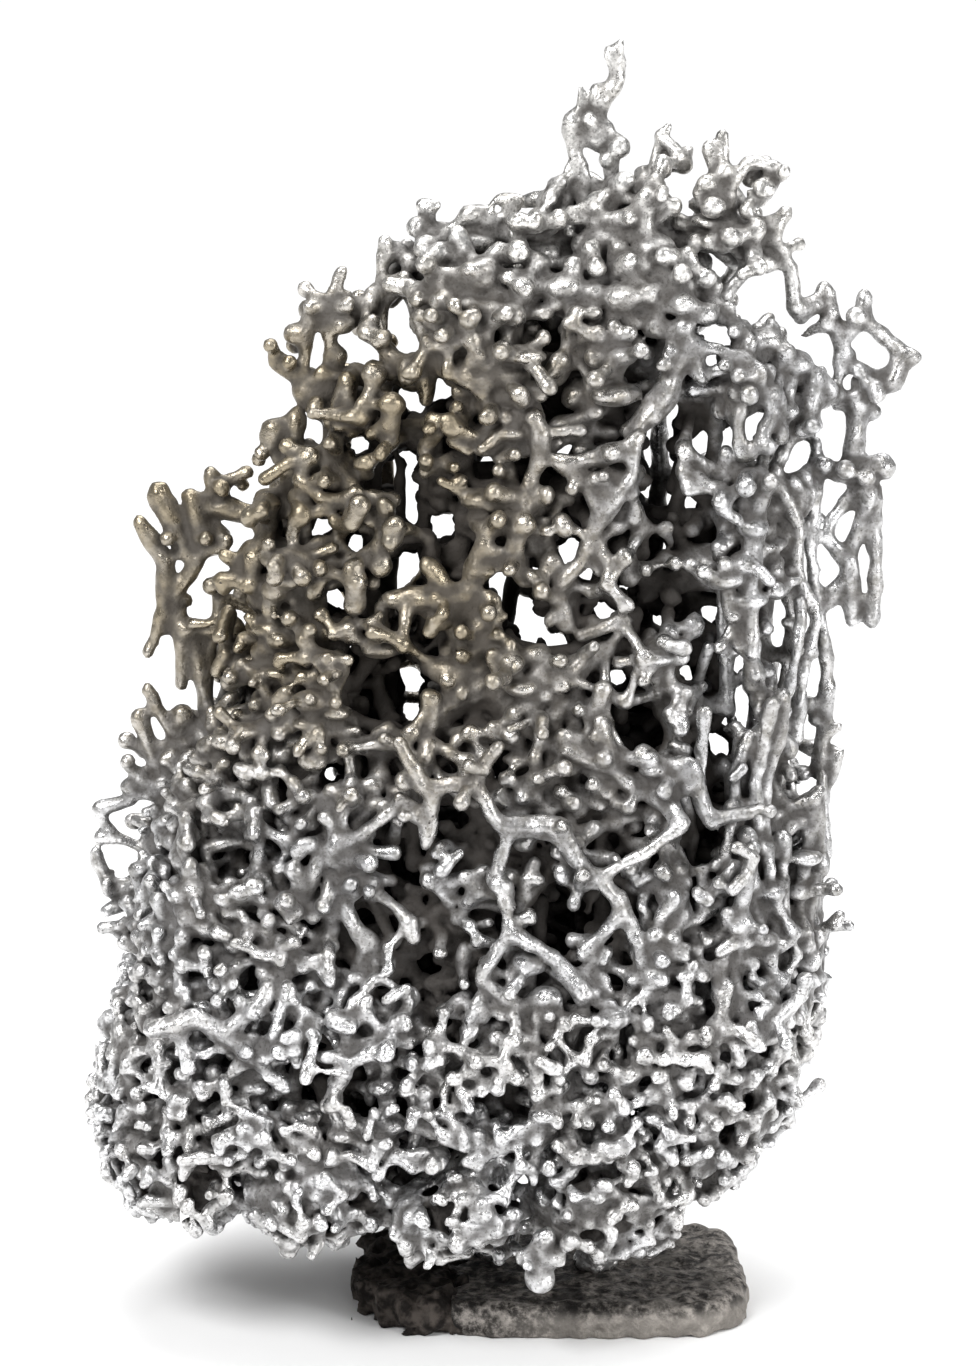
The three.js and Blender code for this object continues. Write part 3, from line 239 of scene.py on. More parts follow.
def bent_finger(root, heading, length, radius, knob):
    """A short blind gallery that bends once and ends in a knob."""
    heading = heading / np.linalg.norm(heading)
    sway = random.normal(0, 0.35, 3)
    middle = root + heading * length * 0.5
    tip = middle + (heading + sway) * length * 0.5
    add_rod([root, middle, tip], [radius, radius * 0.9, radius * knob])


def grow_shafts():
    """Upright shafts on a jittered honeycomb, each broken here and there, and kept inside the outline."""
    runs = []
    rows = np.arange(OUTLINE[:, 3].min(), OUTLINE[:, 4].max(), SHAFT_SPACING * 0.87)
    for row, back in enumerate(rows):
        first = OUTLINE[:, 1].min() + (row % 2) * SHAFT_SPACING / 2
        for across in np.arange(first, OUTLINE[:, 2].max(), SHAFT_SPACING):
            spot = np.array([across, back]) + random.uniform(-4, 4, 2)
            lean = random.normal(0, 0.05, 2)
            drift = np.zeros(2)
            run = []
            for up in np.arange(SHAFT_FLOOR + random.uniform(0, 20), OUTLINE[-1, 0], SHAFT_STEP):
                drift = drift * 0.75 + random.normal(0, 1.7, 2)
                rise = random.uniform(-1.5, 1.5)
                point = np.array([*(spot + drift + lean * (up - SHAFT_FLOOR)), up + rise])
                inset = 3 if up < 180 else 7
                depth = depth_inside(point[None])[0]
                held = inset < depth < SHAFT_DEPTH and behind_front(point[None])[0]
                if held and random.random() > 0.09:
                    run.append(point)
                    continue
                if len(run) > 1:
                    runs.append(np.array(run))
                run = []
            if len(run) > 1:
                runs.append(np.array(run))
    for run in runs:
        width = random.uniform(1.7, 2.6)
        radii = width * random.uniform(0.82, 1.2, len(run))
        radii[[0, -1]] = width * random.uniform(1.15, 1.5, 2)
        add_rod(list(run), list(radii))
    return runs


def grow_curtain():
    """The long, thin, nearly parallel shafts of the right side, which few passages cross."""
    runs = []
    for back in CURTAIN_ROWS:
        for across in np.arange(50, 100, CURTAIN_SPACING):
            low, high = random.uniform(120, 170), random.uniform(262, 312)
            heights = np.arange(low, high, 14)
            lean = random.normal(0, 0.04)
            spot = np.array([across, back]) + random.uniform(-2.5, 2.5, 2)
            sway = np.cumsum(random.normal(0, 2.0, (len(heights), 2)), 0)
            sway[:, 0] += lean * (heights - low)
            run = np.column_stack([spot + sway, heights])
            run = run[(depth_inside(run) > 2) & behind_front(run)]
            if len(run) > 2:
                radii = random.uniform(1.7, 2.4) * random.uniform(0.9, 1.15, len(run))
                radii[[0, -1]] *= 1.35
                add_rod(list(run), list(radii))
                runs.append(run)
    return runs


def grow_chambers(runs):
    """Flattened chambers along the shafts, each with a few finger galleries round its rim."""
    for run in runs:
        for point in run:
            upper = smooth(point[2], 200, 280)
            if random.random() > SHAFT_STEP / CHAMBER_EVERY * (1 + 0.7 * upper):
                continue
            width = random.uniform(3.6, 7.2) * (1 + 0.25 * upper)
            flat = random.uniform(2.2, 4) * (1 + 0.2 * upper)
            half = np.array([width * random.uniform(0.8, 1.25), width * random.uniform(0.7, 1.1), flat])
            chambers.append((point, half, random.uniform(0, math.pi)))
            for _ in range(random.integers(1, 4)):
                bearing = random.uniform(0, 2 * math.pi)
                heading = np.array([math.cos(bearing), math.sin(bearing), random.uniform(-0.5, 0.6)])
                root = point + heading * width * 0.6
                length = random.uniform(5, 11)
                radius = random.uniform(1.5, 2.3)
                bent_finger(root, heading, length, radius, random.uniform(1, 1.45))


def grow_links(runs):
    """Level passages between neighbouring shafts."""
    points = np.concatenate(runs)
    owner = np.concatenate([np.full(len(run), i) for i, run in enumerate(runs)])
    count = int(len(points) * SHAFT_STEP / LINK_EVERY)
    for index in random.choice(len(points), count, replace=False):
        start = points[index]
        gap = points - start
        reach = np.hypot(gap[:, 0], gap[:, 1])
        level = abs(gap[:, 2]) < 15
        near = np.flatnonzero((owner != owner[index]) & (reach < SHAFT_SPACING * 1.45) & level)
        if len(near) == 0:
            continue
        end = points[random.choice(near)]
        middle = (start + end) / 2 + random.uniform(-2.5, 2.5, 3)
        width = random.uniform(1.4, 2.2)
        add_rod([start, middle, end], [width * 1.15, width, width * 1.15])


def grow_on_trees():
    """Stub fingers on the surface of the CAD trees."""
    for name in tree_nodes:
        corners, triangles = node_mesh(name)
        count = max(2, len(triangles) // 34)
        for a, b, c in triangles[random.choice(len(triangles), count, replace=False)]:
            normal = np.cross(corners[b] - corners[a], corners[c] - corners[a])
            size = np.linalg.norm(normal)
            if size < 1:
                continue
            root = (corners[a] + corners[b] + corners[c]) / 3 - normal / size * 1.5
            length = random.uniform(3.5, 8.5) if name not in ARMS else random.uniform(2.2, 4)
            heading = normal / size + random.normal(0, 0.3, 3)
            bent_finger(root, heading, length, random.uniform(1.5, 2.2), random.uniform(1.1, 1.6))


# ------------------------------------------------------------------ the volume of metal


class Metal:
    """A box of voxels. Each gallery adds to it, so that galleries that meet run together with a fillet."""

    def __init__(self, low, high, voxel):
        self.low = np.array(low, float)
        self.voxel = voxel
        self.shape = tuple(int(n) for n in np.ceil((np.array(high) - self.low) / voxel) + 1)
        self.total = np.zeros(self.shape, np.float32)

    def window(self, low, high):
        """The voxels between two corners: their slices, and their places along each axis."""
        first = np.clip(np.floor((low - self.low) / self.voxel).astype(int), 0, self.shape)
        last = np.clip(np.ceil((high - self.low) / self.voxel).astype(int) + 1, 0, self.shape)
        slices = tuple(slice(a, b) for a, b in zip(first, last))
        axes = [self.low[k] + self.voxel * np.arange(first[k], last[k], dtype=np.float32) for k in range(3)]
        return slices, axes[0][:, None, None], axes[1][None, :, None], axes[2][None, None, :]

    def add_distance(self, slices, distance):
        self.total[slices] += np.exp(-BLEND * np.clip(distance, -6, REACH + 2)).astype(np.float32)

    def add_rod(self, start, end, start_radius, end_radius):
        spread = max(start_radius, end_radius) + REACH
        slices, x, y, z = self.window(np.minimum(start, end) - spread, np.maximum(start, end) + spread)
        axis = (end - start).astype(np.float32)
        length = max(float(axis @ axis), 1e-6)
        x, y, z = x - start[0], y - start[1], z - start[2]
        share = np.clip((x * axis[0] + y * axis[1] + z * axis[2]) / length, 0, 1)
        squared = (x - share * axis[0]) ** 2 + (y - share * axis[1]) ** 2 + (z - share * axis[2]) ** 2
        self.add_distance(slices, np.sqrt(squared) - (start_radius + (end_radius - start_radius) * share))

    def add_chamber(self, centre, half, bearing):
        spread = max(half) + REACH
        slices, x, y, z = self.window(centre - spread, centre + spread)
        x, y, z = x - centre[0], y - centre[1], z - centre[2]
        cosine, sine = math.cos(bearing), math.sin(bearing)
        turned = (x * cosine + y * sine, y * cosine - x * sine, z)
        near = np.sqrt(sum((t / h) ** 2 for t, h in zip(turned, half)))
        steep = np.sqrt(sum((t / h**2) ** 2 for t, h in zip(turned, half)))
        self.add_distance(slices, near * (near - 1) / np.maximum(steep, 1e-3))

    def distance_to(self, names, band):
        """The distance to the surface of CAD nodes, for the whole box, cut off at the band."""
        whole = np.full(self.shape, float(band), np.float32)
        reach = int(band / self.voxel) + 1
        for name in names:
            corners, triangles = node_mesh(name)
            local = ((corners - self.low) / self.voxel).astype(np.float32)
            grid = openvdb.FloatGrid.createLevelSetFromPolygons(
                local, triangles=triangles.astype(np.uint32), halfWidth=band / self.voxel
            )
            first = np.clip(np.floor(local.min(0)).astype(int) - reach, 0, self.shape)
            last = np.clip(np.ceil(local.max(0)).astype(int) + reach, 0, self.shape)
            block = np.empty(tuple(last - first), np.float32)
            grid.copyToArray(block, ijk=tuple(int(n) for n in first))
            slices = tuple(slice(a, b) for a, b in zip(first, last))
            whole[slices] = np.minimum(whole[slices], block * self.voxel)
        return whole

    def distance(self):
        """The distance to the surface of the joined metal, near that surface."""
        return -np.log(np.maximum(self.total, 1e-4)) / BLEND


def blurred(values, passes):
    """Each pass is one small smoothing along every axis."""
    for _ in range(passes):
        for axis in range(3):
            values = (np.roll(values, 1, axis) + 2 * values + np.roll(values, -1, axis)) / 4
    return values


def stretched(values, places):
    """Reads a coarse volume at places along each axis, which are given in its own voxels."""
    for axis, place in enumerate(places):
        place = np.clip(place, 0, values.shape[axis] - 1.001)
        base = place.astype(int)
        share = (place - base).astype(np.float32).reshape([-1 if k == axis else 1 for k in range(3)])
        values = np.take(values, base, axis) * (1 - share) + np.take(values, base + 1, axis) * share
    return values


def lumps(shape, cell, strength):
    """Smooth seeded bumps about one cell across."""
    coarse = random.normal(0, 1, [n // cell + 3 for n in shape]).astype(np.float32)
    places = []
    for size in shape:
        place = np.arange(size) / cell
        whole = np.floor(place)
        places.append(whole + smooth(place - whole, 0, 1))
    return stretched(coarse, places) * strength


def sample(volume, low, voxel, points):
    """Reads a volume at points, blending between voxels."""
    place = np.clip((points - low) / voxel, 0, np.array(volume.shape) - 1.001)
    base = place.astype(int)
    share = place - base
    result = np.zeros(len(points), np.float32)
    for corner in np.ndindex(2, 2, 2):
        weight = np.prod(np.where(corner, share, 1 - share), 1)
        result += weight * volume[tuple((base + corner).T)]
    return result


def joined_to(solid, seeds):
    """The voxels of a solid that can be reached from the seeds without leaving it."""
    reached = seeds & solid
    count = 0
    while np.count_nonzero(reached) > count:
        count = np.count_nonzero(reached)
        for axis in range(3):
            flow, inside = np.moveaxis(reached, axis, 0), np.moveaxis(solid, axis, 0)
            for i in range(1, len(flow)):
                flow[i] |= flow[i - 1] & inside[i]
            for i in range(len(flow) - 2, -1, -1):
                flow[i] |= flow[i + 1] & inside[i]
    return reached


# ------------------------------------------------------------------ knobs of the dense clumps


def crowding(spots, clump_depth):
    """How likely each spot is to hold a knob: always in the clumps, and less and less often up the nest."""
    height = spots[:, 2]
    chance = np.interp(height, [70, 140, 190, 260, 330, 400], [1.0, 0.95, 0.6, 0.36, 0.32, 0.25])
    inset = np.interp(height, [100, 180, 260, 330, 390], [1, 5, 10, 7, 3])
    depth = depth_inside(spots)
    chance = np.where(depth > inset, chance, 0) * smooth(depth, 36, 26)
    chance = np.where(height > 68, chance, 0)
    in_curtain = (spots[:, 0] > 46) & (height > 150) & (height < 300)
    chance = np.where(in_curtain, chance * 0.3, chance)
    in_clump = (clump_depth > -1.2) & (clump_depth < CLUMP_CORE + 2)
    return np.where(in_clump, 1.0, chance)


def grow_knobs(metal, clump_distance):
    """A sponge of balls and short rods, dense in the clumps and thinner higher up."""
    high = metal.low + metal.voxel * np.array(metal.shape)
    axes = [np.arange(metal.low[k], high[k], KNOB_SPACING) for k in range(3)]
    grid = np.meshgrid(*axes, indexing="ij")
    patches = lumps(grid[0].shape, 4, 1.0).ravel()
    spots = np.stack(grid, -1).reshape(-1, 3)
    spots = spots + random.uniform(-0.42, 0.42, spots.shape) * KNOB_SPACING
    clump_depth = -sample(clump_distance, metal.low, metal.voxel, spots)
    kept = random.random(len(spots)) < crowding(spots, clump_depth) * smooth(patches, -1.5, 0)
    kept &= (clump_depth < CLUMP_CORE + 2) & (way_clearance(spots) > 2.5) & ~in_hollow(spots)
    kept &= behind_front(spots)
    spots = spots[kept]
    cell = KNOB_SPACING * 1.5
    buckets = {}
    for index, spot in enumerate(spots):
        buckets.setdefault(tuple((spot // cell).astype(int)), []).append(index)
    for index, spot in enumerate(spots):
        radius = random.uniform(1.6, 2.9)
        tip = spot + random.normal(0, 1.5, 3)
        add_rod([spot, tip], [radius, radius * random.uniform(0.75, 1)])
        home = (spot // cell).astype(int)
        around = [tuple(home + step - 1) for step in np.ndindex(3, 3, 3)]
        near = [i for place in around for i in buckets.get(place, ()) if i > index]
        near = sorted(near, key=lambda i: ((spots[i] - spot) ** 2).sum())[:3]
        for other in near:
            if random.random() < 0.55:
                width = random.uniform(1.3, 2.1)
                add_rod([spot, spots[other]], [width, width])


# ------------------------------------------------------------------ building the metal

trees_low = np.min([c.min(0) for n, c in corners_of.items() if n not in SLAB_NODES], 0)
trees_high = np.max([c.max(0) for n, c in corners_of.items() if n not in SLAB_NODES], 0)
metal = Metal(trees_low - MARGIN, trees_high + MARGIN, VOXEL)
clump_distance = metal.distance_to(clump_nodes, 14)
outline_places = [metal.low[k] + 4 * VOXEL * np.arange(metal.shape[k] // 4 + 2) for k in range(3)]
outline_grid = np.stack(np.meshgrid(*outline_places, indexing="ij"), -1)
outline_depth = depth_inside(outline_grid.reshape(-1, 3)).reshape(outline_grid.shape[:3]).astype(np.float32)
outline_depth = stretched(outline_depth, [np.arange(n) / 4 for n in metal.shape])
clump_distance = np.maximum(clump_distance, -outline_depth)

shaft_runs = grow_shafts()
grow_chambers(shaft_runs)
grow_links(shaft_runs)
grow_curtain()
grow_on_trees()
grow_knobs(metal, clump_distance)


def is_clear(points, radius):
    """Whether balls at these points leave the open ways open and stay inside the CAD's box."""
    within = ((points > trees_low + 1.5) & (points < trees_high - 1.5)).all(1)
    return within & (way_clearance(points) > radius) & ~in_hollow(points)


def clear_rods():
    starts, ends, start_radii, end_radii = (np.array(part) for part in zip(*rods))
    kept = np.ones(len(rods), bool)
    for share in (0, 0.5, 1):
        kept &= is_clear(starts + (ends - starts) * share, np.maximum(start_radii, end_radii))
    return [rod for rod, keep in zip(rods, kept) if keep]


def clear_chambers():
    centres = np.array([chamber[0] for chamber in chambers])
    kept = is_clear(centres, np.array([chamber[1][:2].max() for chamber in chambers]))
    return [chamber for chamber, keep in zip(chambers, kept) if keep]


for rod in clear_rods():
    metal.add_rod(*rod)
for chamber in clear_chambers():
    metal.add_chamber(*chamber)

# The clumps: a solid core, and a torn skin of metal just under their surface.
torn = lumps(metal.shape, 9, 1.0)
skin = np.maximum(abs(clump_distance + SKIN_DEPTH) - SKIN_HALF, 0.4 - torn * 3)
metal.total += np.exp(-BLEND * np.clip(clump_distance + CLUMP_CORE, -6, REACH))
metal.total += np.exp(-BLEND * np.clip(skin, -6, REACH))

tree_distance = blurred(metal.distance_to(tree_nodes, 5), 2)
metal.total += np.exp(-BLEND * np.clip(tree_distance - TREE_SWELL, -6, REACH))

distance = metal.distance()
distance += lumps(metal.shape, 5, 0.3)
distance += lumps(metal.shape, 3, 0.25)


# Metal that hangs in the air, joined to nothing, is taken away.
solid = distance < 0
loose = solid & ~joined_to(solid, clump_distance < -CLUMP_CORE)
distance[loose] = VOXEL
# How enclosed each voxel is by metal: the material paints the metal darker where this is high, as painted
# shade in the creases.
crease_shade_mask = blurred((distance < 0).astype(np.float32), CREASE_SHADE_BLUR)


# ------------------------------------------------------------------ which metal belongs to which CAD node

coarse = Metal(trees_low - MARGIN, trees_high + MARGIN, COARSE)
owners = tree_nodes + clump_nodes
node_distance = np.stack([coarse.distance_to([name], FAR) for name in owners])
nearest = np.sort(node_distance, 0)[:2]
owner = node_distance.argmin(0)


def share_of(index):
    """A node's part of the metal, with its low corner. Each part tapers off just inside its neighbours."""
    mine = np.argwhere(owner == index)
    first = (mine.min(0) - 2) * COARSE / VOXEL
    last = (mine.max(0) + 3) * COARSE / VOXEL
    first = np.clip(first.astype(int), 0, metal.shape)
    last = np.clip(last.astype(int), 0, metal.shape)
    others = np.where(owner == index, nearest[1], nearest[0])
    beyond = (node_distance[index] - others) / 2
    places = [np.arange(a, b) * VOXEL / COARSE for a, b in zip(first, last)]
    beyond = np.maximum(stretched(beyond, places), 0)
    part = distance[tuple(slice(a, b) for a, b in zip(first, last))] + TAPER * beyond**2
    for axis in range(3):
        edge = [slice(None)] * 3
        for end in (0, -1):
            edge[axis] = end
            part[tuple(edge)] = 1.0
    return part, metal.low + VOXEL * first


# ------------------------------------------------------------------ materials


def new_material(name):
    material = bpy.data.materials.new(name)
    material.use_nodes = True
    nodes = material.node_tree.nodes
    nodes.clear()
    output = nodes.new("ShaderNodeOutputMaterial")
    shader = nodes.new("ShaderNodeBsdfPrincipled")
    material.node_tree.links.new(shader.outputs[0], output.inputs["Surface"])
    return material, shader


class Wires:
    """Short calls that make and join shader nodes."""

    def __init__(self, material):
        self.tree = material.node_tree

    def node(self, kind, **settings):
        made = self.tree.nodes.new(kind)
        for name, value in settings.items():
            setattr(made, name, value)
        return made

    def put(self, value, socket):
        if isinstance(value, bpy.types.NodeSocket):
            self.tree.links.new(value, socket)
        else:
            socket.default_value = value

    def place(self):
        return self.node("ShaderNodeTexCoord").outputs["Object"]

    def axis(self, name):
        split = self.node("ShaderNodeSeparateXYZ")
        self.put(self.place(), split.inputs[0])
        return split.outputs[name]

    def noise(self, size, detail=3.0, roughness=0.55):
        """Cloudy noise whose patches are about this many millimetres across."""
        made = self.node("ShaderNodeTexNoise")
        self.put(self.place(), made.inputs["Vector"])
        made.inputs["Scale"].default_value = 1 / (size * MM)
        made.inputs["Detail"].default_value = detail
        made.inputs["Roughness"].default_value = roughness
        return made.outputs["Fac"]

    def cells(self, size):
        made = self.node("ShaderNodeTexVoronoi")
        self.put(self.place(), made.inputs["Vector"])
        made.inputs["Scale"].default_value = 1 / (size * MM)
        return made.outputs["Distance"]

    def attribute(self, name):
        return self.node("ShaderNodeAttribute", attribute_name=name).outputs["Fac"]

    def math(self, operation, a, b=0.0):
        made = self.node("ShaderNodeMath", operation=operation)
        self.put(a, made.inputs[0])
        self.put(b, made.inputs[1])
        return made.outputs[0]

    def between(self, value, low, high, to_low=0.0, to_high=1.0):
        made = self.node("ShaderNodeMapRange", interpolation_type="SMOOTHSTEP")
        for socket, number in zip(made.inputs, (value, low, high, to_low, to_high)):
            self.put(number, socket)
        return made.outputs[0]

    def mix(self, share, a, b):
        made = self.node("ShaderNodeMix", data_type="RGBA")
        self.put(share, made.inputs["Factor"])
        colours = [s for s in made.inputs if s.type == "RGBA"]
        self.put(a, colours[0])
        self.put(b, colours[1])
        return next(s for s in made.outputs if s.type == "RGBA")

    def bump(self, height, size, strength, under=None):
        made = self.node("ShaderNodeBump")
        made.inputs["Distance"].default_value = size * MM
        made.inputs["Strength"].default_value = strength
        self.put(height, made.inputs["Height"])
        if under is not None:
            self.put(under, made.inputs["Normal"])
        return made.outputs[0]


def casting_material():
    """As-cast aluminium: matt skin with bright rubs, warm stains, dark pits, painted shade in the creases,
    and soot with painted shade deep inside.
    """
    material, shader = new_material("cast_aluminium")
    w = Wires(material)
    # Readings of soot with painted shade, and of painted shade in creases.
    soot_and_shade_reading = w.attribute("soot_and_shade")
    crease_shade_reading = w.attribute("crease_shade_mask")

    skin = w.mix(w.between(w.noise(20), 0.36, 0.64), (0.48, 0.48, 0.487, 1), (0.84, 0.84, 0.85, 1))
    crown = w.between(w.axis("Z"), 0.34, 0.385)
    skin = w.mix(w.math("MULTIPLY", crown, 0.9), skin, (0.88, 0.865, 0.84, 1))
    skin = w.mix(w.between(w.noise(4, 4), 0.4, 0.7), skin, (0.30, 0.298, 0.292, 1))
    beaded = w.between(w.axis("Z"), 0.17, 0.10)
    skin = w.mix(w.math("MULTIPLY", beaded, 0.55), skin, (0.90, 0.90, 0.91, 1))
    skin = w.mix(w.between(w.noise(1.1, 2), 0.52, 0.7, 0.0, 0.7), skin, (0.16, 0.156, 0.15, 1))

    leftness = w.between(w.axis("X"), 0.055, -0.045)
    highness = w.between(w.axis("Z"), 0.17, 0.25)
    warm_zone = w.math("MULTIPLY", w.math("MULTIPLY", leftness, highness), w.math("SUBTRACT", 1.0, crown))
    patchy = w.between(w.noise(28), 0.38, 0.62)
    warm_share = w.math("ADD", w.math("MULTIPLY", warm_zone, 0.8), w.math("MULTIPLY", patchy, 0.2))
    stained = w.mix(warm_share, skin, (0.27, 0.23, 0.165, 1))

    grain = w.noise(1.3, 4)
    pit_zone = w.between(w.noise(14), 0.42, 0.58)
    pits = w.math("MULTIPLY", w.between(w.cells(2.4), 0.3, 0.12), pit_zone)
    pits = w.math("MULTIPLY", pits, w.between(grain, 0.45, 0.6))

    # Painted shade: creases go dark, by how enclosed each point is, with a little noise.
    painted_crease_shade = w.between(w.math("ADD", crease_shade_reading, w.math("MULTIPLY", w.noise(6), 0.35)), 0.46, 0.72)
    # Soot with painted shade: the metal goes dark deep inside the nest and in the clumps' hollows.
    soot_and_shade = w.between(w.math("ADD", soot_and_shade_reading, w.math("MULTIPLY", w.noise(14), 0.7)), 0.55, 1.1)
    dark = w.math("MAXIMUM", w.math("MULTIPLY", painted_crease_shade, 0.88), w.math("MULTIPLY", soot_and_shade, 0.97))
    dark = w.math("MAXIMUM", dark, w.math("MULTIPLY", pits, 0.9))
    w.put(w.mix(dark, stained, (0.026, 0.021, 0.017, 1)), shader.inputs["Base Color"])
    w.put(w.between(dark, 0.1, 0.9, 0.92, 0.2), shader.inputs["Metallic"])

    rough = w.between(w.noise(8), 0.3, 0.7, 0.2, 0.42)
    w.put(w.math("MAXIMUM", rough, w.math("MULTIPLY", dark, 0.8)), shader.inputs["Roughness"])

    beads = w.math("MULTIPLY", w.math("SUBTRACT", 1.0, w.cells(3.6)), beaded)
    dimples = w.bump(w.noise(3.0, 3), 0.7, 0.55, w.bump(beads, 1.6, 0.8))
    grains = w.bump(grain, 0.4, 0.75, dimples)
    w.put(w.bump(w.math("SUBTRACT", 1.0, pits), 0.5, 0.6, grains), shader.inputs["Normal"])
    return material


def slab_material():
    """The slab: burnt, mottled brown-grey metal, with a cleaner rim on the right."""
    material, shader = new_material("mottled_slab")
    w = Wires(material)
    burnt, scoured = (0.016, 0.013, 0.011, 1), (0.37, 0.34, 0.31, 1)
    mottled = w.mix(w.between(w.noise(4, 6, 0.7), 0.38, 0.66), burnt, scoured)
    mottled = w.mix(w.between(w.noise(12, 5, 0.65), 0.48, 0.62), mottled, (0.012, 0.010, 0.009, 1))
    low = w.between(w.axis("Z"), 0.0105, 0.006)
    rim = w.math("MULTIPLY", low, w.between(w.axis("X"), -0.03, 0.02))
    spots = w.between(w.noise(9, 5, 0.65), 0.45, 0.66)
    patches = w.math("MULTIPLY", spots, w.between(w.axis("X"), -0.02, 0.05))
    clean = w.math("MAXIMUM", w.math("MULTIPLY", rim, 0.7), w.math("MULTIPLY", patches, 0.6))
    w.put(w.mix(clean, mottled, (0.34, 0.315, 0.285, 1)), shader.inputs["Base Color"])
    w.put(w.between(clean, 0, 1, 0.45, 0.85), shader.inputs["Metallic"])
    w.put(w.between(w.noise(5), 0.3, 0.7, 0.42, 0.7), shader.inputs["Roughness"])
    coarse = w.bump(w.noise(4, 5), 1.8, 0.9)
    w.put(w.bump(w.noise(1.0, 3), 0.3, 0.5, coarse), shader.inputs["Normal"])
    return material


def crust_material():
    """The baked dirt on the slab's left end."""
    material, shader = new_material("baked_dirt")
    w = Wires(material)
    colour = w.mix(w.between(w.noise(5, 5), 0.4, 0.65), (0.012, 0.010, 0.009, 1), (0.075, 0.064, 0.056, 1))
    w.put(colour, shader.inputs["Base Color"])
    shader.inputs["Metallic"].default_value = 0.1
    shader.inputs["Specular IOR Level"].default_value = 0.12
    w.put(w.between(w.noise(3), 0.3, 0.7, 0.6, 0.95), shader.inputs["Roughness"])
    w.put(w.bump(w.noise(2.5, 5), 1.0, 0.9), shader.inputs["Normal"])
    return material


# ------------------------------------------------------------------ meshing


def mesh_piece(name, values, low, voxel, material):
    """Meshes the zero surface of a volume as a closed, smooth-shaded object, and gives its points."""
    grid = openvdb.FloatGrid(float(values.max()))
    grid.copyFromArray(np.ascontiguousarray(values, np.float32))
    points, quads = grid.convertToQuads(isovalue=0.0)
    points = points * voxel + low
    mesh = bpy.data.meshes.new(name)
    mesh.vertices.add(len(points))
    mesh.vertices.foreach_set("co", (points * MM).astype(np.float32).ravel())
    mesh.loops.add(quads.size)
    mesh.loops.foreach_set("vertex_index", quads[:, ::-1].astype(np.int32).ravel())
    mesh.polygons.add(len(quads))
    mesh.polygons.foreach_set("loop_start", np.arange(0, quads.size, 4, dtype=np.int32))
    mesh.polygons.foreach_set("use_smooth", np.ones(len(quads), bool))
    mesh.update(calc_edges=True)
    mesh.materials.append(material)
    piece = bpy.data.objects.new(name, mesh)
    bpy.context.scene.collection.objects.link(piece)
    return piece, points


def add_reading(piece, title, values):
    layer = piece.data.attributes.new(title, "FLOAT", "POINT")
    layer.data.foreach_set("value", values.astype(np.float32))


def soot_and_shade_at(points):
    """Soot and painted shade, from 0 to 1: soot settled deep inside the nest and in the hollows of the
    clumps, where shade is also painted.
    """
    # The soot and painted shade fade out near the bottom and the top of the nest.
    fainter_near_ends = np.interp(points[:, 2], [60, 130, 320, 380], [7, 0, 0, 10])
    deep = smooth(depth_inside(points) - fainter_near_ends, *SOOT_AND_SHADE_DEPTH) * smooth(points[:, 2], 400, 330)
    hollow = smooth(-sample(clump_distance, metal.low, VOXEL, points), 1.2, 5.5)
    return np.maximum(deep, hollow)


def build_galleries(material):
    for index, node in enumerate(owners):
        part, low = share_of(index)
        piece, points = mesh_piece(node + "_casting", part, low, VOXEL, material)
        # The readings carry soot with painted shade, and painted shade in creases, to the material.
        add_reading(piece, "soot_and_shade", soot_and_shade_at(points))
        add_reading(piece, "crease_shade_mask", sample(crease_shade_mask, metal.low, VOXEL, points))
        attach(piece, "root")
        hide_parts(node)


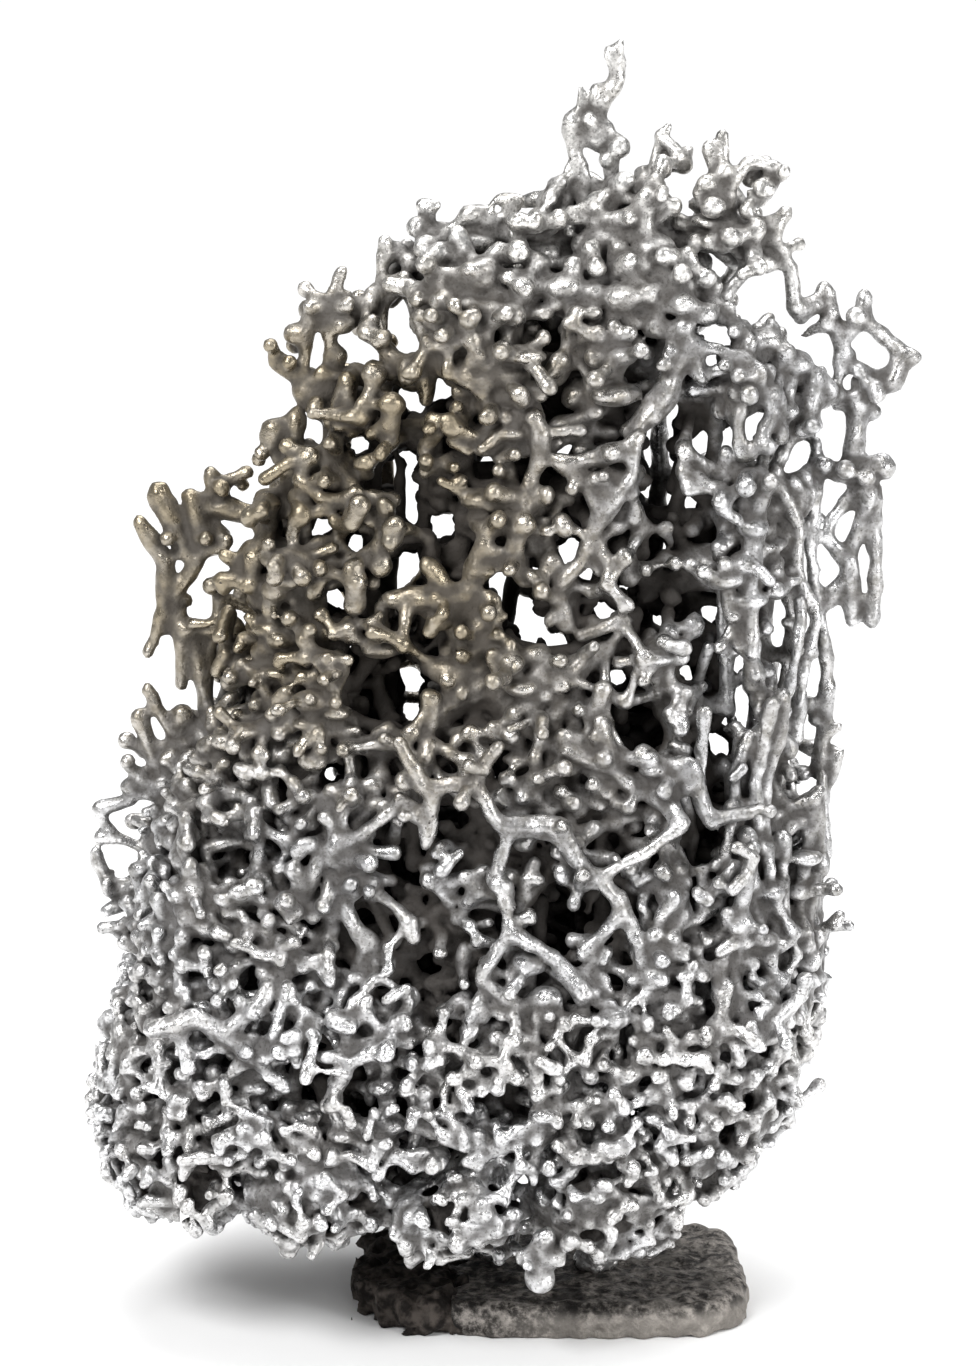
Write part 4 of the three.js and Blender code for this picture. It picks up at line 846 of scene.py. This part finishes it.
def build_slab():
    """The slab's CAD shape with a rough skin, parted from its dirty left end along a ragged line."""
    corners = np.concatenate([corners_of[name] for name in SLAB_NODES])
    block = Metal(corners.min(0) - 5, corners.max(0) + 5, SLAB_VOXEL)
    x, _, z = (block.low[k] + SLAB_VOXEL * np.arange(block.shape[k]) for k in range(3))
    whole = blurred(block.distance_to(SLAB_NODES, 4), 3) - 0.5
    for cell, strength in ((14, 0.5), (6, 0.55), (3, 0.35)):
        whole += lumps(block.shape, cell, strength)
    parting = (x[:, None, None] - corners_of["slab_crust"][:, 0].max() - 3) + lumps(block.shape, 12, 4.0)
    rough = lumps(block.shape, 5, 1.0) + lumps(block.shape, 2, 0.5)
    underside = -z[None, None, :]
    crust = np.maximum(np.maximum(whole + rough, parting - 1.5), underside)
    slab = np.maximum(np.maximum(whole, -parting), underside)
    for name, values, node, material in (
        ("slab_metal", slab, "pour_slab", slab_material()),
        ("slab_dirt_crust", crust, "slab_crust", crust_material()),
    ):
        piece, _ = mesh_piece(name, values, block.low, SLAB_VOXEL, material)
        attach(piece, "root")
        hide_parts(node)


# ------------------------------------------------------------------ surroundings


def build_surroundings():
    """A wide pale floor, a white surround and three soft lights."""
    bpy.ops.mesh.primitive_plane_add(size=30, location=(0, 0, 0))
    floor = bpy.context.object
    floor.name = "floor"
    material, shader = new_material("pale_floor")
    shader.inputs["Base Color"].default_value = (0.86, 0.86, 0.86, 1)
    shader.inputs["Roughness"].default_value = 0.6
    floor.data.materials.append(material)

    world = bpy.data.worlds.new("surround")
    world.use_nodes = True
    nodes = world.node_tree.nodes
    seen = nodes.new("ShaderNodeLightPath").outputs["Is Camera Ray"]
    strength = nodes.new("ShaderNodeMapRange")
    strength.inputs["To Min"].default_value = ROOM_LIGHT
    world.node_tree.links.new(seen, strength.inputs["Value"])
    world.node_tree.links.new(strength.outputs[0], nodes["Background"].inputs["Strength"])
    nodes["Background"].inputs["Color"].default_value = (1, 1, 1, 1)
    bpy.context.scene.world = world

    lights = [
        ("key", (-0.8, -1.0, 1.4), 0.8, 32),
        ("fill", (1.2, -0.9, 0.7), 0.5, 12),
    ]
    for name, spot, size, power in lights:
        data = bpy.data.lights.new(name, "AREA")
        data.size = size
        data.energy = power
        light = bpy.data.objects.new(name, data)
        light.location = spot
        light.rotation_euler = (CAMERA_TARGET - Vector(spot)).to_track_quat("-Z", "Y").to_euler()
        bpy.context.scene.collection.objects.link(light)

    sun = bpy.data.lights.new("ceiling", "SUN")
    sun.energy = 3.0
    sun.angle = math.radians(50)
    ceiling = bpy.data.objects.new("ceiling", sun)
    ceiling.rotation_euler = (math.radians(-18), math.radians(8), 0)
    bpy.context.scene.collection.objects.link(ceiling)


build_galleries(casting_material())
build_slab()
build_surroundings()

bpy.context.scene.view_settings.view_transform = "Standard"
